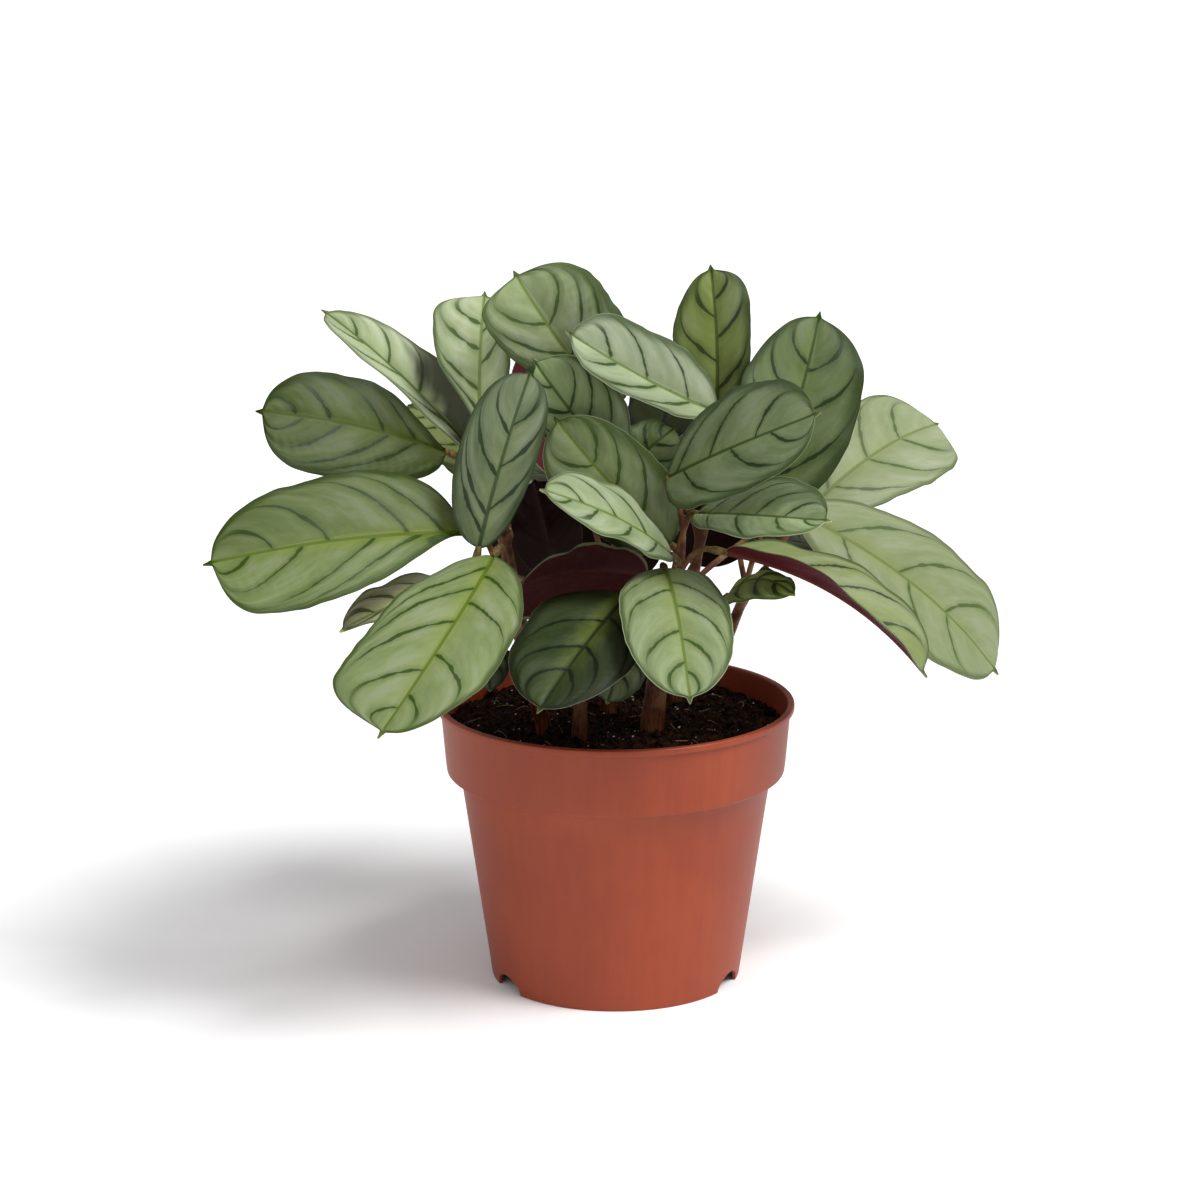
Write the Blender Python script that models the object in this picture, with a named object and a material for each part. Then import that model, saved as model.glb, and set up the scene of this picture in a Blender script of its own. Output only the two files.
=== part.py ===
"""Potted ctenanthe: a prayer plant with banded silver leaves in a 12 cm nursery pot.

Metres, +Z up. The origin is on the pot's axis, on the floor. The side that faces the
viewer is -Y, and +X is to the right. Tables are in millimetres, angles in degrees.
"""
import math
from dataclasses import dataclass

import bmesh
import bpy
from mathutils import Vector
from mathutils.geometry import interpolate_bezier

MM = 0.001
GAP = 0.3  # air between two pieces that touch on the real plant

# Pot, a thin moulded cup with a rolled lip, a collar and a skirt below its floor
RIM_RADIUS = 60.0
POT_HEIGHT = 95.3
WALL = 1.1
LIP_HEIGHT = 2.2
COLLAR_TOP_RADIUS = 58.7
COLLAR_FOOT_RADIUS = 56.9
COLLAR_FOOT_HEIGHT = 71.6
COLLAR_ROUNDING = 0.8
WALL_TOP_RADIUS = 52.4
FOOT_RADIUS = 42.1
FLOOR_HEIGHT = 6.5
CENTRE_DRAIN_RADIUS = 5.0
POT_SEGMENTS = 44
NOTCH_AZIMUTHS = (-59, 64, 183)
NOTCH_HALF_WIDTH = 7.2
NOTCH_HEIGHT = 5.4
DRAIN_COUNT = 6
DRAIN_RADIUS = 3.6
DRAIN_CIRCLE = 29.0
DRAIN_SIDES = 12
DRAIN_CUT = 6.0
NOTCH_SIDES = 20
NOTCH_CUT = 8.0

# Soil, filled to a little below the rim
SOIL_HEIGHT = 90.8
SOIL_RISE = 2.2
SOIL_BUMP = 1.0
SOIL_RINGS = 5
SOIL_SEGMENTS = 32

# Shoots: a sheath that stands in the soil, and the petioles that leave it
ROOT_DEPTH = 14.0
SHEATH_RADIUS = 2.7
SHEATH_TOP_RADIUS = 1.7
PETIOLE_RADIUS = 1.05
PULVINUS_RADIUS = 1.45
PULVINUS_END_RADIUS = 1.25
PULVINUS_LENGTH = 5.0
FIRST_PETIOLE = 0.45  # shares of the sheath where the first and the last petiole start
LAST_PETIOLE = 0.97
PETIOLE_LEAN = 0.45  # how far a petiole follows the sheath before it turns away
TAPER_START = 0.55
PETIOLE_STEPS = 6

# Blades
BLADE_THICKNESS = 0.6
ROWS = (0.0, 0.03, 0.1, 0.22, 0.37, 0.53, 0.69, 0.82, 0.91, 0.955, 1.0)
COLUMNS = (-1.0, -0.55, 0.0, 0.55, 1.0)
BASE_FULLNESS = 2.2
POINT_WIDTH = 1.1
NECK_WIDTH = 2.4
WAVES = 2.5
WAVE_SHIFT = 1.95  # the right edge ripples out of step with the left one


@dataclass
class Shoot:
    """One stem: where it stands in the soil, where its sheath ends, and its size."""

    foot: tuple
    top: tuple
    stout: float = 1.0


@dataclass
class Leaf:
    """One blade and its petiole.

    base and tip are the ends of the midrib. faces is the azimuth (0 is the viewer, 90 is
    +X) and the elevation that the upper side looks to. arch lifts the midrib's middle
    and bend moves it to the blade's right. side is the share of the width that moves
    from the left half to the right one. The pairs are for the left and the right half:
    wide is the share of the length where it is widest, heel is 1 for a round base end and
    more for one drawn out to a wedge, full is how blunt the tip end is, 2 for an ellipse
    and more for an oblong, and fold raises that half. end is where the round blade stops
    and its point starts. curl turns the edges down, twist turns the tip end against the
    base end, and wave is how far the edge goes up and down. neck is how far ahead the
    petiole turns into the blade, sway moves the petiole's middle, and stalk is the
    pulvinus's own direction where the blade is bent away from it.
    """

    shoot: str
    base: tuple
    tip: tuple
    width: float
    faces: tuple
    arch: float = 5.0
    bend: float = 0.0
    side: float = 0.0
    wide: tuple = (0.52, 0.52)
    heel: tuple = (1.0, 1.0)
    full: tuple = (2.6, 2.6)
    end: float = 0.965
    fold: tuple = (10, 10)
    curl: float = 18.0
    twist: float = 0.0
    wave: float = 0.8
    neck: float = 8.0
    sway: tuple = (0, 0, 0)
    stalk: tuple = None


SHOOTS = {
    "left": Shoot((-24, -14), (-34, -22, 132)),
    "left_rear": Shoot((-27, 14), (-37, 8, 150)),
    "front": Shoot((-12, -23), (-11, -20, 112)),
    "middle": Shoot((12, -16), (16, -13, 126), 1.5),
    "upper": Shoot((-3, 8), (1, 4, 150)),
    "right": Shoot((32, 36), (43, 11, 128)),
    "right_rear": Shoot((20, 22), (29, 25, 148)),
    "rear": Shoot((-6, 34), (-2, 38, 130)),
}

LEAVES = [
    Leaf(
        "left_rear", (-56, -3, 181), (-116, -25, 199), 36.5, (-15, 35), side=-0.03, wide=(0.67, 0.58),
        heel=(1, 2.4), full=(3.6, 2.6),
    ),
    Leaf(
        "left", (-49, -34, 161), (-130, -62, 157), 47, (-10, 40), side=0.02, wide=(0.74, 0.30), heel=(3, 1),
        full=(4.5, 2.6), neck=4,
    ),
    Leaf(
        "left_rear", (-45, 10, 174.5), (-98, 22, 224), 24.5, (-60, 60), side=0.07, wide=(0.8, 0.28),
        full=(3.0, 1.4), fold=(45, 40),
    ),
    Leaf(
        "left_rear", (-44.5, 0, 182), (-43, 8, 232.5), 26.5, (-10, 15), side=-0.12, wide=(0.8, 0.6),
        heel=(5, 1), full=(4.5, 4.0),
    ),
    Leaf(
        "left", (-44, -38, 157), (-26, -26, 216), 25, (5, 10), bend=-1.2, side=-0.07, wide=(0.5, 0.6),
        full=(2.6, 2.8), end=0.92, sway=(0, 4, 0),
    ),
    Leaf(
        "upper", (-0.5, 12, 192.5), (-33, -12, 242.5), 39, (-5, 13), arch=3, bend=-1.3, side=0.06,
        wide=(0.8, 0.53), heel=(4, 1), full=(4.5, 4.5),
    ),
    Leaf(
        "right_rear", (33.5, 14, 191), (-16, -25, 225), 25, (-6, 36), arch=3, bend=-3.5, side=0.14,
        wide=(0.8, 0.38), full=(4.5, 4.5), fold=(10, 18),
    ),
    Leaf("upper", (1, -2, 176), (-27, -18, 215), 29, (-20, 40), bend=-2, side=0.07),
    Leaf("middle", (18, -8, 151), (-20, -24, 197), 32, (-20, 35), bend=-1.5, side=0.01, wide=(0.64, 0.4)),
    Leaf("middle", (18, -23, 151), (-24, -56, 180), 26, (-15, 50), bend=-2, side=0.08, wide=(0.57, 0.47)),
    Leaf(
        "middle", (17, -20, 176), (64, -62, 206), 40, (5, 40), bend=3, side=-0.04, full=(2.6, 4.2),
        stalk=(-0.1, -0.5, 0.86), sway=(6, 3, 0),
    ),
    Leaf("upper", (2, 18, 167), (20, 26, 183), 20, (0, 30)),
    Leaf(
        "middle", (26.5, -20, 164), (67.5, -68, 172.5), 29, (-6, 53), bend=4.8, side=-0.14,
        wide=(0.56, 0.8), full=(2.1, 1.4),
    ),
    Leaf(
        "right_rear", (33.5, 23, 186), (31.5, 26, 238.5), 26.5, (5, 5), bend=0.8, side=-0.06,
        wide=(0.59, 0.68), full=(1.4, 4.5),
    ),
    Leaf("middle", (50, 6, 160), (68.5, 30, 222), 41.5, (10, 10), wide=(0.57, 0.57), full=(1.4, 2.7)),
    Leaf(
        "right", (67.5, 18, 159.5), (112.5, 68, 176), 41.5, (13, 49), bend=-1.2, side=-0.01,
        wide=(0.49, 0.64), full=(4.5, 3.0),
    ),
    Leaf(
        "right", (60.5, -2, 160), (130.5, 22, 98), 43.5, (21, 42), arch=8, bend=-0.8, side=-0.03,
        wide=(0.8, 0.65), full=(1.6, 1.4),
    ),
    Leaf("middle", (36, -24, 152), (101, -36, 113), 34, (60, 70), arch=8, fold=(30, 40), twist=-24),
    Leaf(
        "middle", (37, -12, 134.5), (58, -34, 140), 21, (26, 40), bend=-2.3, side=0.25,
        wide=(0.3, 0.3), full=(4.5, 1.4),
    ),
    Leaf("middle", (16, -27, 147), (23, -95, 121), 35, (5, 55), arch=7, side=0.02),
    Leaf(
        "front", (4, -28, 138.5), (-24.5, -88, 116), 40, (-7, 50), arch=6, bend=-1.8, side=0.04,
        wide=(0.52, 0.43), full=(1.8, 3.5),
    ),
    Leaf(
        "left", (-39, -42, 155), (-73, -104, 112.5), 47, (-12, 56), arch=6, bend=-4.3, side=0.04,
        wide=(0.58, 0.8), heel=(1.5, 1), full=(1.5, 4.5),
    ),
    Leaf(
        "left", (-44, -24, 139), (-88.5, -48, 131.5), 17, (-30, 50), side=0.2, wide=(0.5, 0.57),
        full=(2.0, 1.6),
    ),
    Leaf("middle", (10, -14, 142), (-32, -46, 145), 36, (180, 30), side=0.14, wide=(0.52, 0.66)),
    Leaf("front", (4, -13, 117), (-3, -36, 104), 18, (10, 45)),
    Leaf("left", (-42, -14, 119), (-41, -32, 107), 14, (0, 40)),
    Leaf("left_rear", (-20, -3, 139), (-27, 1, 171), 23, (180, 10), wide=(0.42, 0.42)),
    Leaf("rear", (-16, 48, 158), (-50, 104, 150), 35, (-135, 55)),
    Leaf("rear", (-13, 46, 160), (-27, 76, 206), 30, (195, 20)),
    Leaf("rear", (27, 50, 130), (46, 68, 174), 36, (165, 15)),
    Leaf("right_rear", (46, 34, 176), (66, 72, 204), 28, (130, 40)),
    Leaf("left_rear", (-46, 20, 172), (-72, 60, 184), 30, (-120, 50)),
    Leaf("right_rear", (14, 34, 176), (30, 85, 196), 32, (165, 45)),
    Leaf("rear", (3, 54, 122), (-2, 64, 164), 34, (180, 15)),
    Leaf("rear", (-20, 45, 120), (-34, 47, 154), 29, (200, 12)),
    Leaf("left_rear", (-40, 26, 150), (-78, 72, 130), 34, (-130, 50)),
    Leaf("right", (48, 30, 142), (84, 76, 124), 34, (120, 50)),
    Leaf("rear", (9, 42, 170), (21, 98, 170), 32, (175, 60)),
    Leaf("right_rear", (44, 30, 158), (82, 72, 158), 28, (130, 50)),
    Leaf("left_rear", (-34, 30, 162), (-62, 82, 166), 30, (-140, 50)),
]

SHOOT_COLOUR = (0.13, 0.06, 0.035)
LEAF_COLOUR = (0.20, 0.29, 0.13)
POT_COLOUR = (0.35, 0.085, 0.045)
SOIL_COLOUR = (0.02, 0.014, 0.01)


def clear_scene():
    """Removes what a new file starts with."""
    for thing in list(bpy.data.objects):
        bpy.data.objects.remove(thing, do_unlink=True)


def material(name, colour, roughness):
    """A plain Principled material."""
    result = bpy.data.materials.new(name)
    result.use_nodes = True
    shader = result.node_tree.nodes["Principled BSDF"]
    shader.inputs["Base Color"].default_value = (*colour, 1.0)
    shader.inputs["Roughness"].default_value = roughness
    shader.inputs["Metallic"].default_value = 0.0
    return result


def place(name, mesh):
    """Puts a mesh in the scene as one named object."""
    thing = bpy.data.objects.new(name, mesh)
    bpy.context.collection.objects.link(thing)
    return thing


def paint(thing, finish):
    """Gives an object its one material."""
    thing.data.materials.clear()
    thing.data.materials.append(finish)


def mesh_of(bm, name):
    """Turns a bmesh with faces facing outward into a mesh, in metres."""
    bmesh.ops.recalc_face_normals(bm, faces=bm.faces)
    bmesh.ops.scale(bm, vec=(MM, MM, MM), verts=bm.verts)
    mesh = bpy.data.meshes.new(name)
    bm.to_mesh(mesh)
    bm.free()
    return mesh


def baked(thing):
    """The mesh that an object's modifiers or its curve bevel give."""
    graph = bpy.context.evaluated_depsgraph_get()
    return bpy.data.meshes.new_from_object(thing.evaluated_get(graph))


def combine(base, others, operation):
    """Unites or cuts base with the other objects, and removes those."""
    group = bpy.data.collections.new("operands")
    for other in others:
        group.objects.link(other)
    boolean = base.modifiers.new(operation.lower(), "BOOLEAN")
    boolean.operation = operation
    boolean.operand_type = "COLLECTION"
    boolean.collection = group
    boolean.solver = "EXACT"
    mesh = baked(base)
    base.modifiers.clear()
    base.data = mesh
    for other in others:
        bpy.data.objects.remove(other, do_unlink=True)
    bpy.data.collections.remove(group)


def tube(name, points, radii):
    """A six-sided rod along points, with its own radius at each."""
    curve = bpy.data.curves.new(name, "CURVE")
    curve.dimensions = "3D"
    curve.bevel_depth = MM
    curve.bevel_resolution = 1
    curve.use_fill_caps = True
    spline = curve.splines.new("POLY")
    spline.points.add(len(points) - 1)
    for knot, point, radius in zip(spline.points, points, radii):
        knot.co = (*(point * MM), 1.0)
        knot.radius = radius
    guide = bpy.data.objects.new(name, curve)
    bpy.context.collection.objects.link(guide)
    mesh = baked(guide)
    bpy.data.objects.remove(guide, do_unlink=True)
    return place(name, mesh)


def direction(azimuth, elevation):
    """The unit vector that looks that way from the plant."""
    across, up = math.radians(azimuth), math.radians(elevation)
    return Vector((math.sin(across) * math.cos(up), -math.cos(across) * math.cos(up), math.sin(up)))


def half_width(along, leaf, half):
    """The width of one half there, 1 at its widest: an oblong with a base end and a tip end."""
    rounded = min(along / leaf.end, 1.0)
    widest = leaf.wide[half]
    if rounded < widest:
        to_base = (widest - rounded) / widest
        return (1.0 - to_base**BASE_FULLNESS) ** (0.5 * leaf.heel[half])
    to_tip = (rounded - widest) / (1.0 - widest)
    return (1.0 - to_tip ** leaf.full[half]) ** 0.5


class Blade:
    """The surface of one leaf, from along 0 to 1 and across -1 (left) to 1 (right)."""

    def __init__(self, leaf):
        self.leaf = leaf
        self.base = Vector(leaf.base)
        self.chord = Vector(leaf.tip) - self.base
        line = self.chord.normalized()
        faces = direction(*leaf.faces)
        self.up = (faces - line * faces.dot(line)).normalized()
        self.right = line.cross(self.up)

    def midrib(self, along):
        """The point on the midrib and the unit vector along it there."""
        leaf = self.leaf
        # A parabola that is 0 at both ends and 1 at the middle, and its slope
        swell = 4.0 * along * (1.0 - along)
        slope = 4.0 * (1.0 - 2.0 * along)
        offset = self.up * leaf.arch + self.right * leaf.bend
        point = self.base + self.chord * along + offset * swell
        return point, (self.chord + offset * slope).normalized()

    def frame(self, along):
        """The midrib's point, the way to the right edge and the upper side's normal."""
        point, line = self.midrib(along)
        up = (self.up - line * self.up.dot(line)).normalized()
        right = line.cross(up)
        turn = math.radians(self.leaf.twist) * (along - 0.5)
        cosine, sine = math.cos(turn), math.sin(turn)
        return point, right * cosine + up * sine, up * cosine - right * sine

    def point(self, along, across, depth=0.0):
        """A point of the upper side, or one that far below it."""
        leaf = self.leaf
        middle, right, up = self.frame(along)
        reach = abs(across)
        half = 1 if across > 0 else 0
        sign = 2 * half - 1
        shape = half_width(along, leaf, half)
        least = NECK_WIDTH + (POINT_WIDTH - NECK_WIDTH) * along
        width = max(leaf.width * (0.5 + sign * leaf.side) * shape, 0.5 * least)
        tilt = math.radians(leaf.fold[half] - leaf.curl * reach * 0.5)
        ripple = math.sin(2.0 * math.pi * WAVES * along + WAVE_SHIFT * half) * reach**2
        lift = width * reach * math.sin(tilt) + leaf.wave * ripple * shape - depth
        return middle + right * (sign * width * reach * math.cos(tilt)) + up * lift


def split(bm, a, b, c, d):
    """Adds the quad a, b, c, d as two triangles."""
    bm.faces.new((a, b, c))
    bm.faces.new((a, c, d))


def add_leaf(name, leaf, finish):
    """One thin closed blade, split into triangles alike on both faces."""
    blade = Blade(leaf)
    bm = bmesh.new()
    sheets = []
    for depth in (0.0, BLADE_THICKNESS):
        sheets.append([[bm.verts.new(blade.point(row, column, depth)) for column in COLUMNS] for row in ROWS])

    upper, lower = sheets
    last_row, last_column = len(ROWS) - 1, len(COLUMNS) - 1
    for sheet in sheets:
        for row in range(last_row):
            for column in range(last_column):
                near, far = sheet[row], sheet[row + 1]
                split(bm, near[column], near[column + 1], far[column + 1], far[column])
    for row in range(last_row):
        for column in (0, last_column):
            split(bm, upper[row][column], upper[row + 1][column], lower[row + 1][column], lower[row][column])
    for column in range(last_column):
        for row in (0, last_row):
            split(bm, upper[row][column], upper[row][column + 1], lower[row][column + 1], lower[row][column])
    paint(place(name, mesh_of(bm, name)), finish)


def sheath_point(shoot, share):
    """A point of the sheath's axis, from its foot at the soil to its top."""
    foot = Vector((*shoot.foot, SOIL_HEIGHT))
    return foot.lerp(Vector(shoot.top), share)


def sheath(name, shoot, extra=0.0):
    """The sheath with its root, or the hole for it if extra is air round it."""
    foot, top = sheath_point(shoot, 0.0), sheath_point(shoot, 1.0)
    root = foot - Vector((0, 0, ROOT_DEPTH + extra))
    points = [root, foot, foot.lerp(top, TAPER_START), top]
    radii = [SHEATH_RADIUS, SHEATH_RADIUS, 0.5 * (SHEATH_RADIUS + SHEATH_TOP_RADIUS), SHEATH_TOP_RADIUS]
    return tube(name, points, [radius * shoot.stout + extra for radius in radii])


def petiole(name, leaf, shoot, share):
    """The petiole from inside the sheath to the blade, ending in a straight pulvinus."""
    start = sheath_point(shoot, share)
    line = (sheath_point(shoot, 1.0) - sheath_point(shoot, 0.0)).normalized()
    blade = Blade(leaf)
    end_line = Vector(leaf.stalk).normalized() if leaf.stalk else blade.midrib(0.0)[1]
    corner = 0.5 * NECK_WIDTH * abs(blade.right.dot(end_line))
    end = Vector(leaf.base) - end_line * (GAP + corner)
    knee = end - end_line * PULVINUS_LENGTH
    sway = Vector(leaf.sway)
    leave = start + line * (PETIOLE_LEAN * (end - start).length) + sway
    arrive = knee - end_line * leaf.neck + sway
    points = interpolate_bezier(start, leave, arrive, knee, PETIOLE_STEPS)
    points += [knee.lerp(end, 0.25), end]
    radii = [PETIOLE_RADIUS] * PETIOLE_STEPS + [PULVINUS_RADIUS, PULVINUS_END_RADIUS]
    return tube(name, points, radii)


def add_shoot(key, shoot, finish):
    """A sheath with its petioles, grown as one."""
    leaves = [leaf for leaf in LEAVES if leaf.shoot == key]
    stem = sheath("shoot_" + key, shoot)
    petioles = []
    for number, leaf in enumerate(leaves):
        share = FIRST_PETIOLE + (LAST_PETIOLE - FIRST_PETIOLE) * number / max(len(leaves) - 1, 1)
        petioles.append(petiole(f"petiole_{number}", leaf, shoot, share))
    combine(stem, petioles, "UNION")
    paint(stem, finish)


def turned(name, profile, segments):
    """Spins a closed outline of (radius, height) round the pot's axis."""
    bm = bmesh.new()
    outline = [bm.verts.new((radius, 0.0, height)) for radius, height in profile]
    edges = [bm.edges.new((a, b)) for a, b in zip(outline, outline[1:] + outline[:1])]
    bmesh.ops.spin(
        bm, geom=outline + edges, axis=(0, 0, 1), cent=(0, 0, 0), angle=2 * math.pi, steps=segments,
        use_merge=True,
    )
    return mesh_of(bm, name)


def cutter(name, bm):
    """A cutting body that is used up by a Boolean."""
    thing = place(name, mesh_of(bm, name))
    thing.hide_render = True
    thing.display_type = "WIRE"
    return thing


def drain_cutter(spot):
    """An upright cylinder through the pot's floor."""
    bm = bmesh.new()
    bmesh.ops.create_cone(
        bm, cap_ends=True, segments=DRAIN_SIDES, radius1=DRAIN_RADIUS, radius2=DRAIN_RADIUS, depth=DRAIN_CUT,
    )
    bmesh.ops.translate(bm, vec=spot, verts=bm.verts)
    return cutter("drain", bm)


def notch_cutter(away):
    """A flattened cylinder that lies along away, centred on the foot of the skirt."""
    bm = bmesh.new()
    bmesh.ops.create_cone(
        bm, cap_ends=True, segments=NOTCH_SIDES, radius1=1.0, radius2=1.0, depth=NOTCH_CUT,
    )
    aside = Vector((0, 0, 1)).cross(away)
    for vertex in bm.verts:
        across, up, reach = vertex.co
        vertex.co = away * (FOOT_RADIUS + reach) + aside * (across * NOTCH_HALF_WIDTH)
        vertex.co.z = up * NOTCH_HEIGHT
    return cutter("notch", bm)


def wall_radius(height):
    """The outer radius of the tapered wall."""
    return FOOT_RADIUS + (WALL_TOP_RADIUS - FOOT_RADIUS) * height / COLLAR_FOOT_HEIGHT


def collar_radius(height):
    """The outer radius of the collar."""
    share = (height - COLLAR_FOOT_HEIGHT) / (POT_HEIGHT - LIP_HEIGHT - COLLAR_FOOT_HEIGHT)
    return COLLAR_FOOT_RADIUS + (COLLAR_TOP_RADIUS - COLLAR_FOOT_RADIUS) * share


def add_pot(finish):
    """The pot, turned, then cut for its drain holes and the notches in its skirt."""
    floor_top = FLOOR_HEIGHT + WALL
    ledge = COLLAR_FOOT_HEIGHT + WALL
    profile = [
        (RIM_RADIUS - 0.5, POT_HEIGHT),
        (RIM_RADIUS, POT_HEIGHT - 0.5),
        (RIM_RADIUS, POT_HEIGHT - LIP_HEIGHT),
        (COLLAR_TOP_RADIUS, POT_HEIGHT - LIP_HEIGHT - 0.2),
        (COLLAR_FOOT_RADIUS, COLLAR_FOOT_HEIGHT + COLLAR_ROUNDING),
        (COLLAR_FOOT_RADIUS - COLLAR_ROUNDING, COLLAR_FOOT_HEIGHT),
        (WALL_TOP_RADIUS, COLLAR_FOOT_HEIGHT),
        (FOOT_RADIUS, 0.0),
        (FOOT_RADIUS - WALL, 0.0),
        (wall_radius(FLOOR_HEIGHT) - WALL, FLOOR_HEIGHT),
        (CENTRE_DRAIN_RADIUS, FLOOR_HEIGHT),
        (CENTRE_DRAIN_RADIUS, floor_top),
        (wall_radius(floor_top) - WALL, floor_top),
        (wall_radius(ledge) - WALL, ledge),
        (COLLAR_FOOT_RADIUS - WALL, ledge),
        (COLLAR_TOP_RADIUS - WALL, POT_HEIGHT - 1.0),
        (COLLAR_TOP_RADIUS - 0.6, POT_HEIGHT),
    ]
    pot = place("pot", turned("pot", profile, POT_SEGMENTS))
    cutters = []
    for azimuth in NOTCH_AZIMUTHS:
        away = direction(azimuth, 0)
        cutters.append(notch_cutter(away))
    for number in range(DRAIN_COUNT):
        spot = direction(360 * number / DRAIN_COUNT, 0) * DRAIN_CIRCLE
        spot.z = FLOOR_HEIGHT
        cutters.append(drain_cutter(spot))
    combine(pot, cutters, "DIFFERENCE")
    paint(pot, finish)


def soil_top(radius, azimuth):
    """The height of the soil's bumpy surface, a little higher at the middle."""
    bump = math.sin(0.21 * radius + 3 * azimuth) + math.sin(0.13 * radius - 5 * azimuth + 1.0)
    return SOIL_HEIGHT - SOIL_RISE * (radius / COLLAR_TOP_RADIUS) ** 2 + 0.5 * SOIL_BUMP * bump


def add_soil(finish):
    """The soil that fills the pot, with a plain hole for each sheath."""
    ledge = COLLAR_FOOT_HEIGHT + WALL + GAP
    floor = FLOOR_HEIGHT + WALL + GAP
    rim = collar_radius(SOIL_HEIGHT - SOIL_RISE - SOIL_BUMP) - WALL - 2 * GAP
    bm = bmesh.new()
    centre = bm.verts.new((0, 0, SOIL_HEIGHT))
    rings = []
    azimuths = [2 * math.pi * step / SOIL_SEGMENTS for step in range(SOIL_SEGMENTS)]
    for ring in range(1, SOIL_RINGS + 1):
        radius = rim * ring / SOIL_RINGS
        rings.append([(radius, azimuth, soil_top(radius, azimuth)) for azimuth in azimuths])
    below = [
        (COLLAR_FOOT_RADIUS - WALL - GAP, ledge),
        (wall_radius(ledge) - WALL - GAP, ledge),
        (wall_radius(floor) - WALL - GAP, floor),
    ]
    for radius, height in below:
        rings.append([(radius, azimuth, height) for azimuth in azimuths])
    loops = []
    for ring in rings:
        corners = [direction(math.degrees(azimuth), 0) * radius for radius, azimuth, height in ring]
        loops.append([bm.verts.new((spot.x, spot.y, height)) for spot, (_, _, height) in zip(corners, ring)])
    for step in range(SOIL_SEGMENTS):
        after = (step + 1) % SOIL_SEGMENTS
        bm.faces.new((centre, loops[0][step], loops[0][after]))
        for inner, outer in zip(loops, loops[1:]):
            bm.faces.new((inner[step], outer[step], outer[after]))
            bm.faces.new((inner[step], outer[after], inner[after]))
    bm.faces.new(list(reversed(loops[-1])))
    soil = place("soil", mesh_of(bm, "soil"))
    holes = [sheath("hole", shoot, GAP) for shoot in SHOOTS.values()]
    combine(soil, holes, "DIFFERENCE")
    paint(soil, finish)


def main():
    """Builds the pot, the soil, the shoots and their leaves."""
    clear_scene()
    add_pot(material("pot plastic", POT_COLOUR, 0.45))
    add_soil(material("soil", SOIL_COLOUR, 0.95))
    stems = material("petiole", SHOOT_COLOUR, 0.5)
    for key, shoot in SHOOTS.items():
        add_shoot(key, shoot, stems)
    green = material("leaf", LEAF_COLOUR, 0.45)
    for number, leaf in enumerate(LEAVES, 1):
        add_leaf(f"leaf_{number:02d}", leaf, green)


main()
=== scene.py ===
# %% [markdown]
# # A potted ctenanthe
# A prayer plant in a 12 cm nursery pot: silver-green oblong blades with dark curved bands
# on top and burgundy below, on thin reddish stems in dark peat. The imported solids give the
# place of every piece. Here each one is made again with finer detail, from the same
# numbers, and gets its finish. The frame comes first, because all else is set against it.

# %% Frame
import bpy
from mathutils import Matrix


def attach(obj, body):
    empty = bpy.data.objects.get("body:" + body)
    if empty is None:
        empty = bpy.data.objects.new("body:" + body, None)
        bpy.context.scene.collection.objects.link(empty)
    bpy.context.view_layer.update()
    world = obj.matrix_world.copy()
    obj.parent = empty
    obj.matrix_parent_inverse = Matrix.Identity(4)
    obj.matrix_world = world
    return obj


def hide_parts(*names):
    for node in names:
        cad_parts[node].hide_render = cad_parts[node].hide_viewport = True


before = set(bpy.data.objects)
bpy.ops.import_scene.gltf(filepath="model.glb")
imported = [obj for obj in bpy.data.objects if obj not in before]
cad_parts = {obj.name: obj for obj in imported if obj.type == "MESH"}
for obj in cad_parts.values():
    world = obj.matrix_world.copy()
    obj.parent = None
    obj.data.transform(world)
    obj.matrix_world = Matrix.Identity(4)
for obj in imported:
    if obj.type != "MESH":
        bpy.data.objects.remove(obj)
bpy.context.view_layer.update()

# %% Tools and units
import math
from dataclasses import dataclass

import bmesh
import bpy
import numpy as np
from mathutils import Vector, kdtree, noise
from mathutils.geometry import interpolate_bezier

MM = 0.001


def add_object(name, data):
    """A new object in the scene, for a mesh, a curve, a lamp or a camera."""
    thing = bpy.data.objects.new(name, data)
    bpy.context.scene.collection.objects.link(thing)
    return thing


print("tables are in millimetres, the scene is in metres")

# %% [markdown]
# ## Camera
# The picture was taken with a long lens from a little above the plant. The pot's rim and
# foot show as ellipses, and how flat each one is gives the camera's height and distance.
# The lens axis passes a little right of the picture's middle, which is what shift is for.

# %% Camera
CAMERA_PLACE = (0.0, -1.1632, 0.4251)
CAMERA_TILT = 14.24  # degrees down from level
LENS = 108.0
SENSOR = 36.0
SHIFT = -0.0131

lens = bpy.data.cameras.new("camera")
lens.lens = LENS
lens.sensor_width = SENSOR
lens.shift_x = SHIFT
lens.clip_start = 0.05
lens.clip_end = 60.0
camera = add_object("camera", lens)
camera.location = CAMERA_PLACE
camera.rotation_euler = (math.radians(90.0 - CAMERA_TILT), 0.0, 0.0)
bpy.context.scene.camera = camera
print("field of view", round(math.degrees(2 * math.atan(0.5 * SENSOR / LENS)), 1), "degrees")

# %% [markdown]
# ## Writing finishes
# A finish is a tree of shader nodes. Trees are hard to read as lists of links, so a small
# class wraps one output socket, and sums, products and comparisons of such wires add the
# Math nodes. Colours are mixed with Mix nodes, because a Math node would turn them grey.
# Every other node comes from one method, which sets its options, then its sockets.

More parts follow.
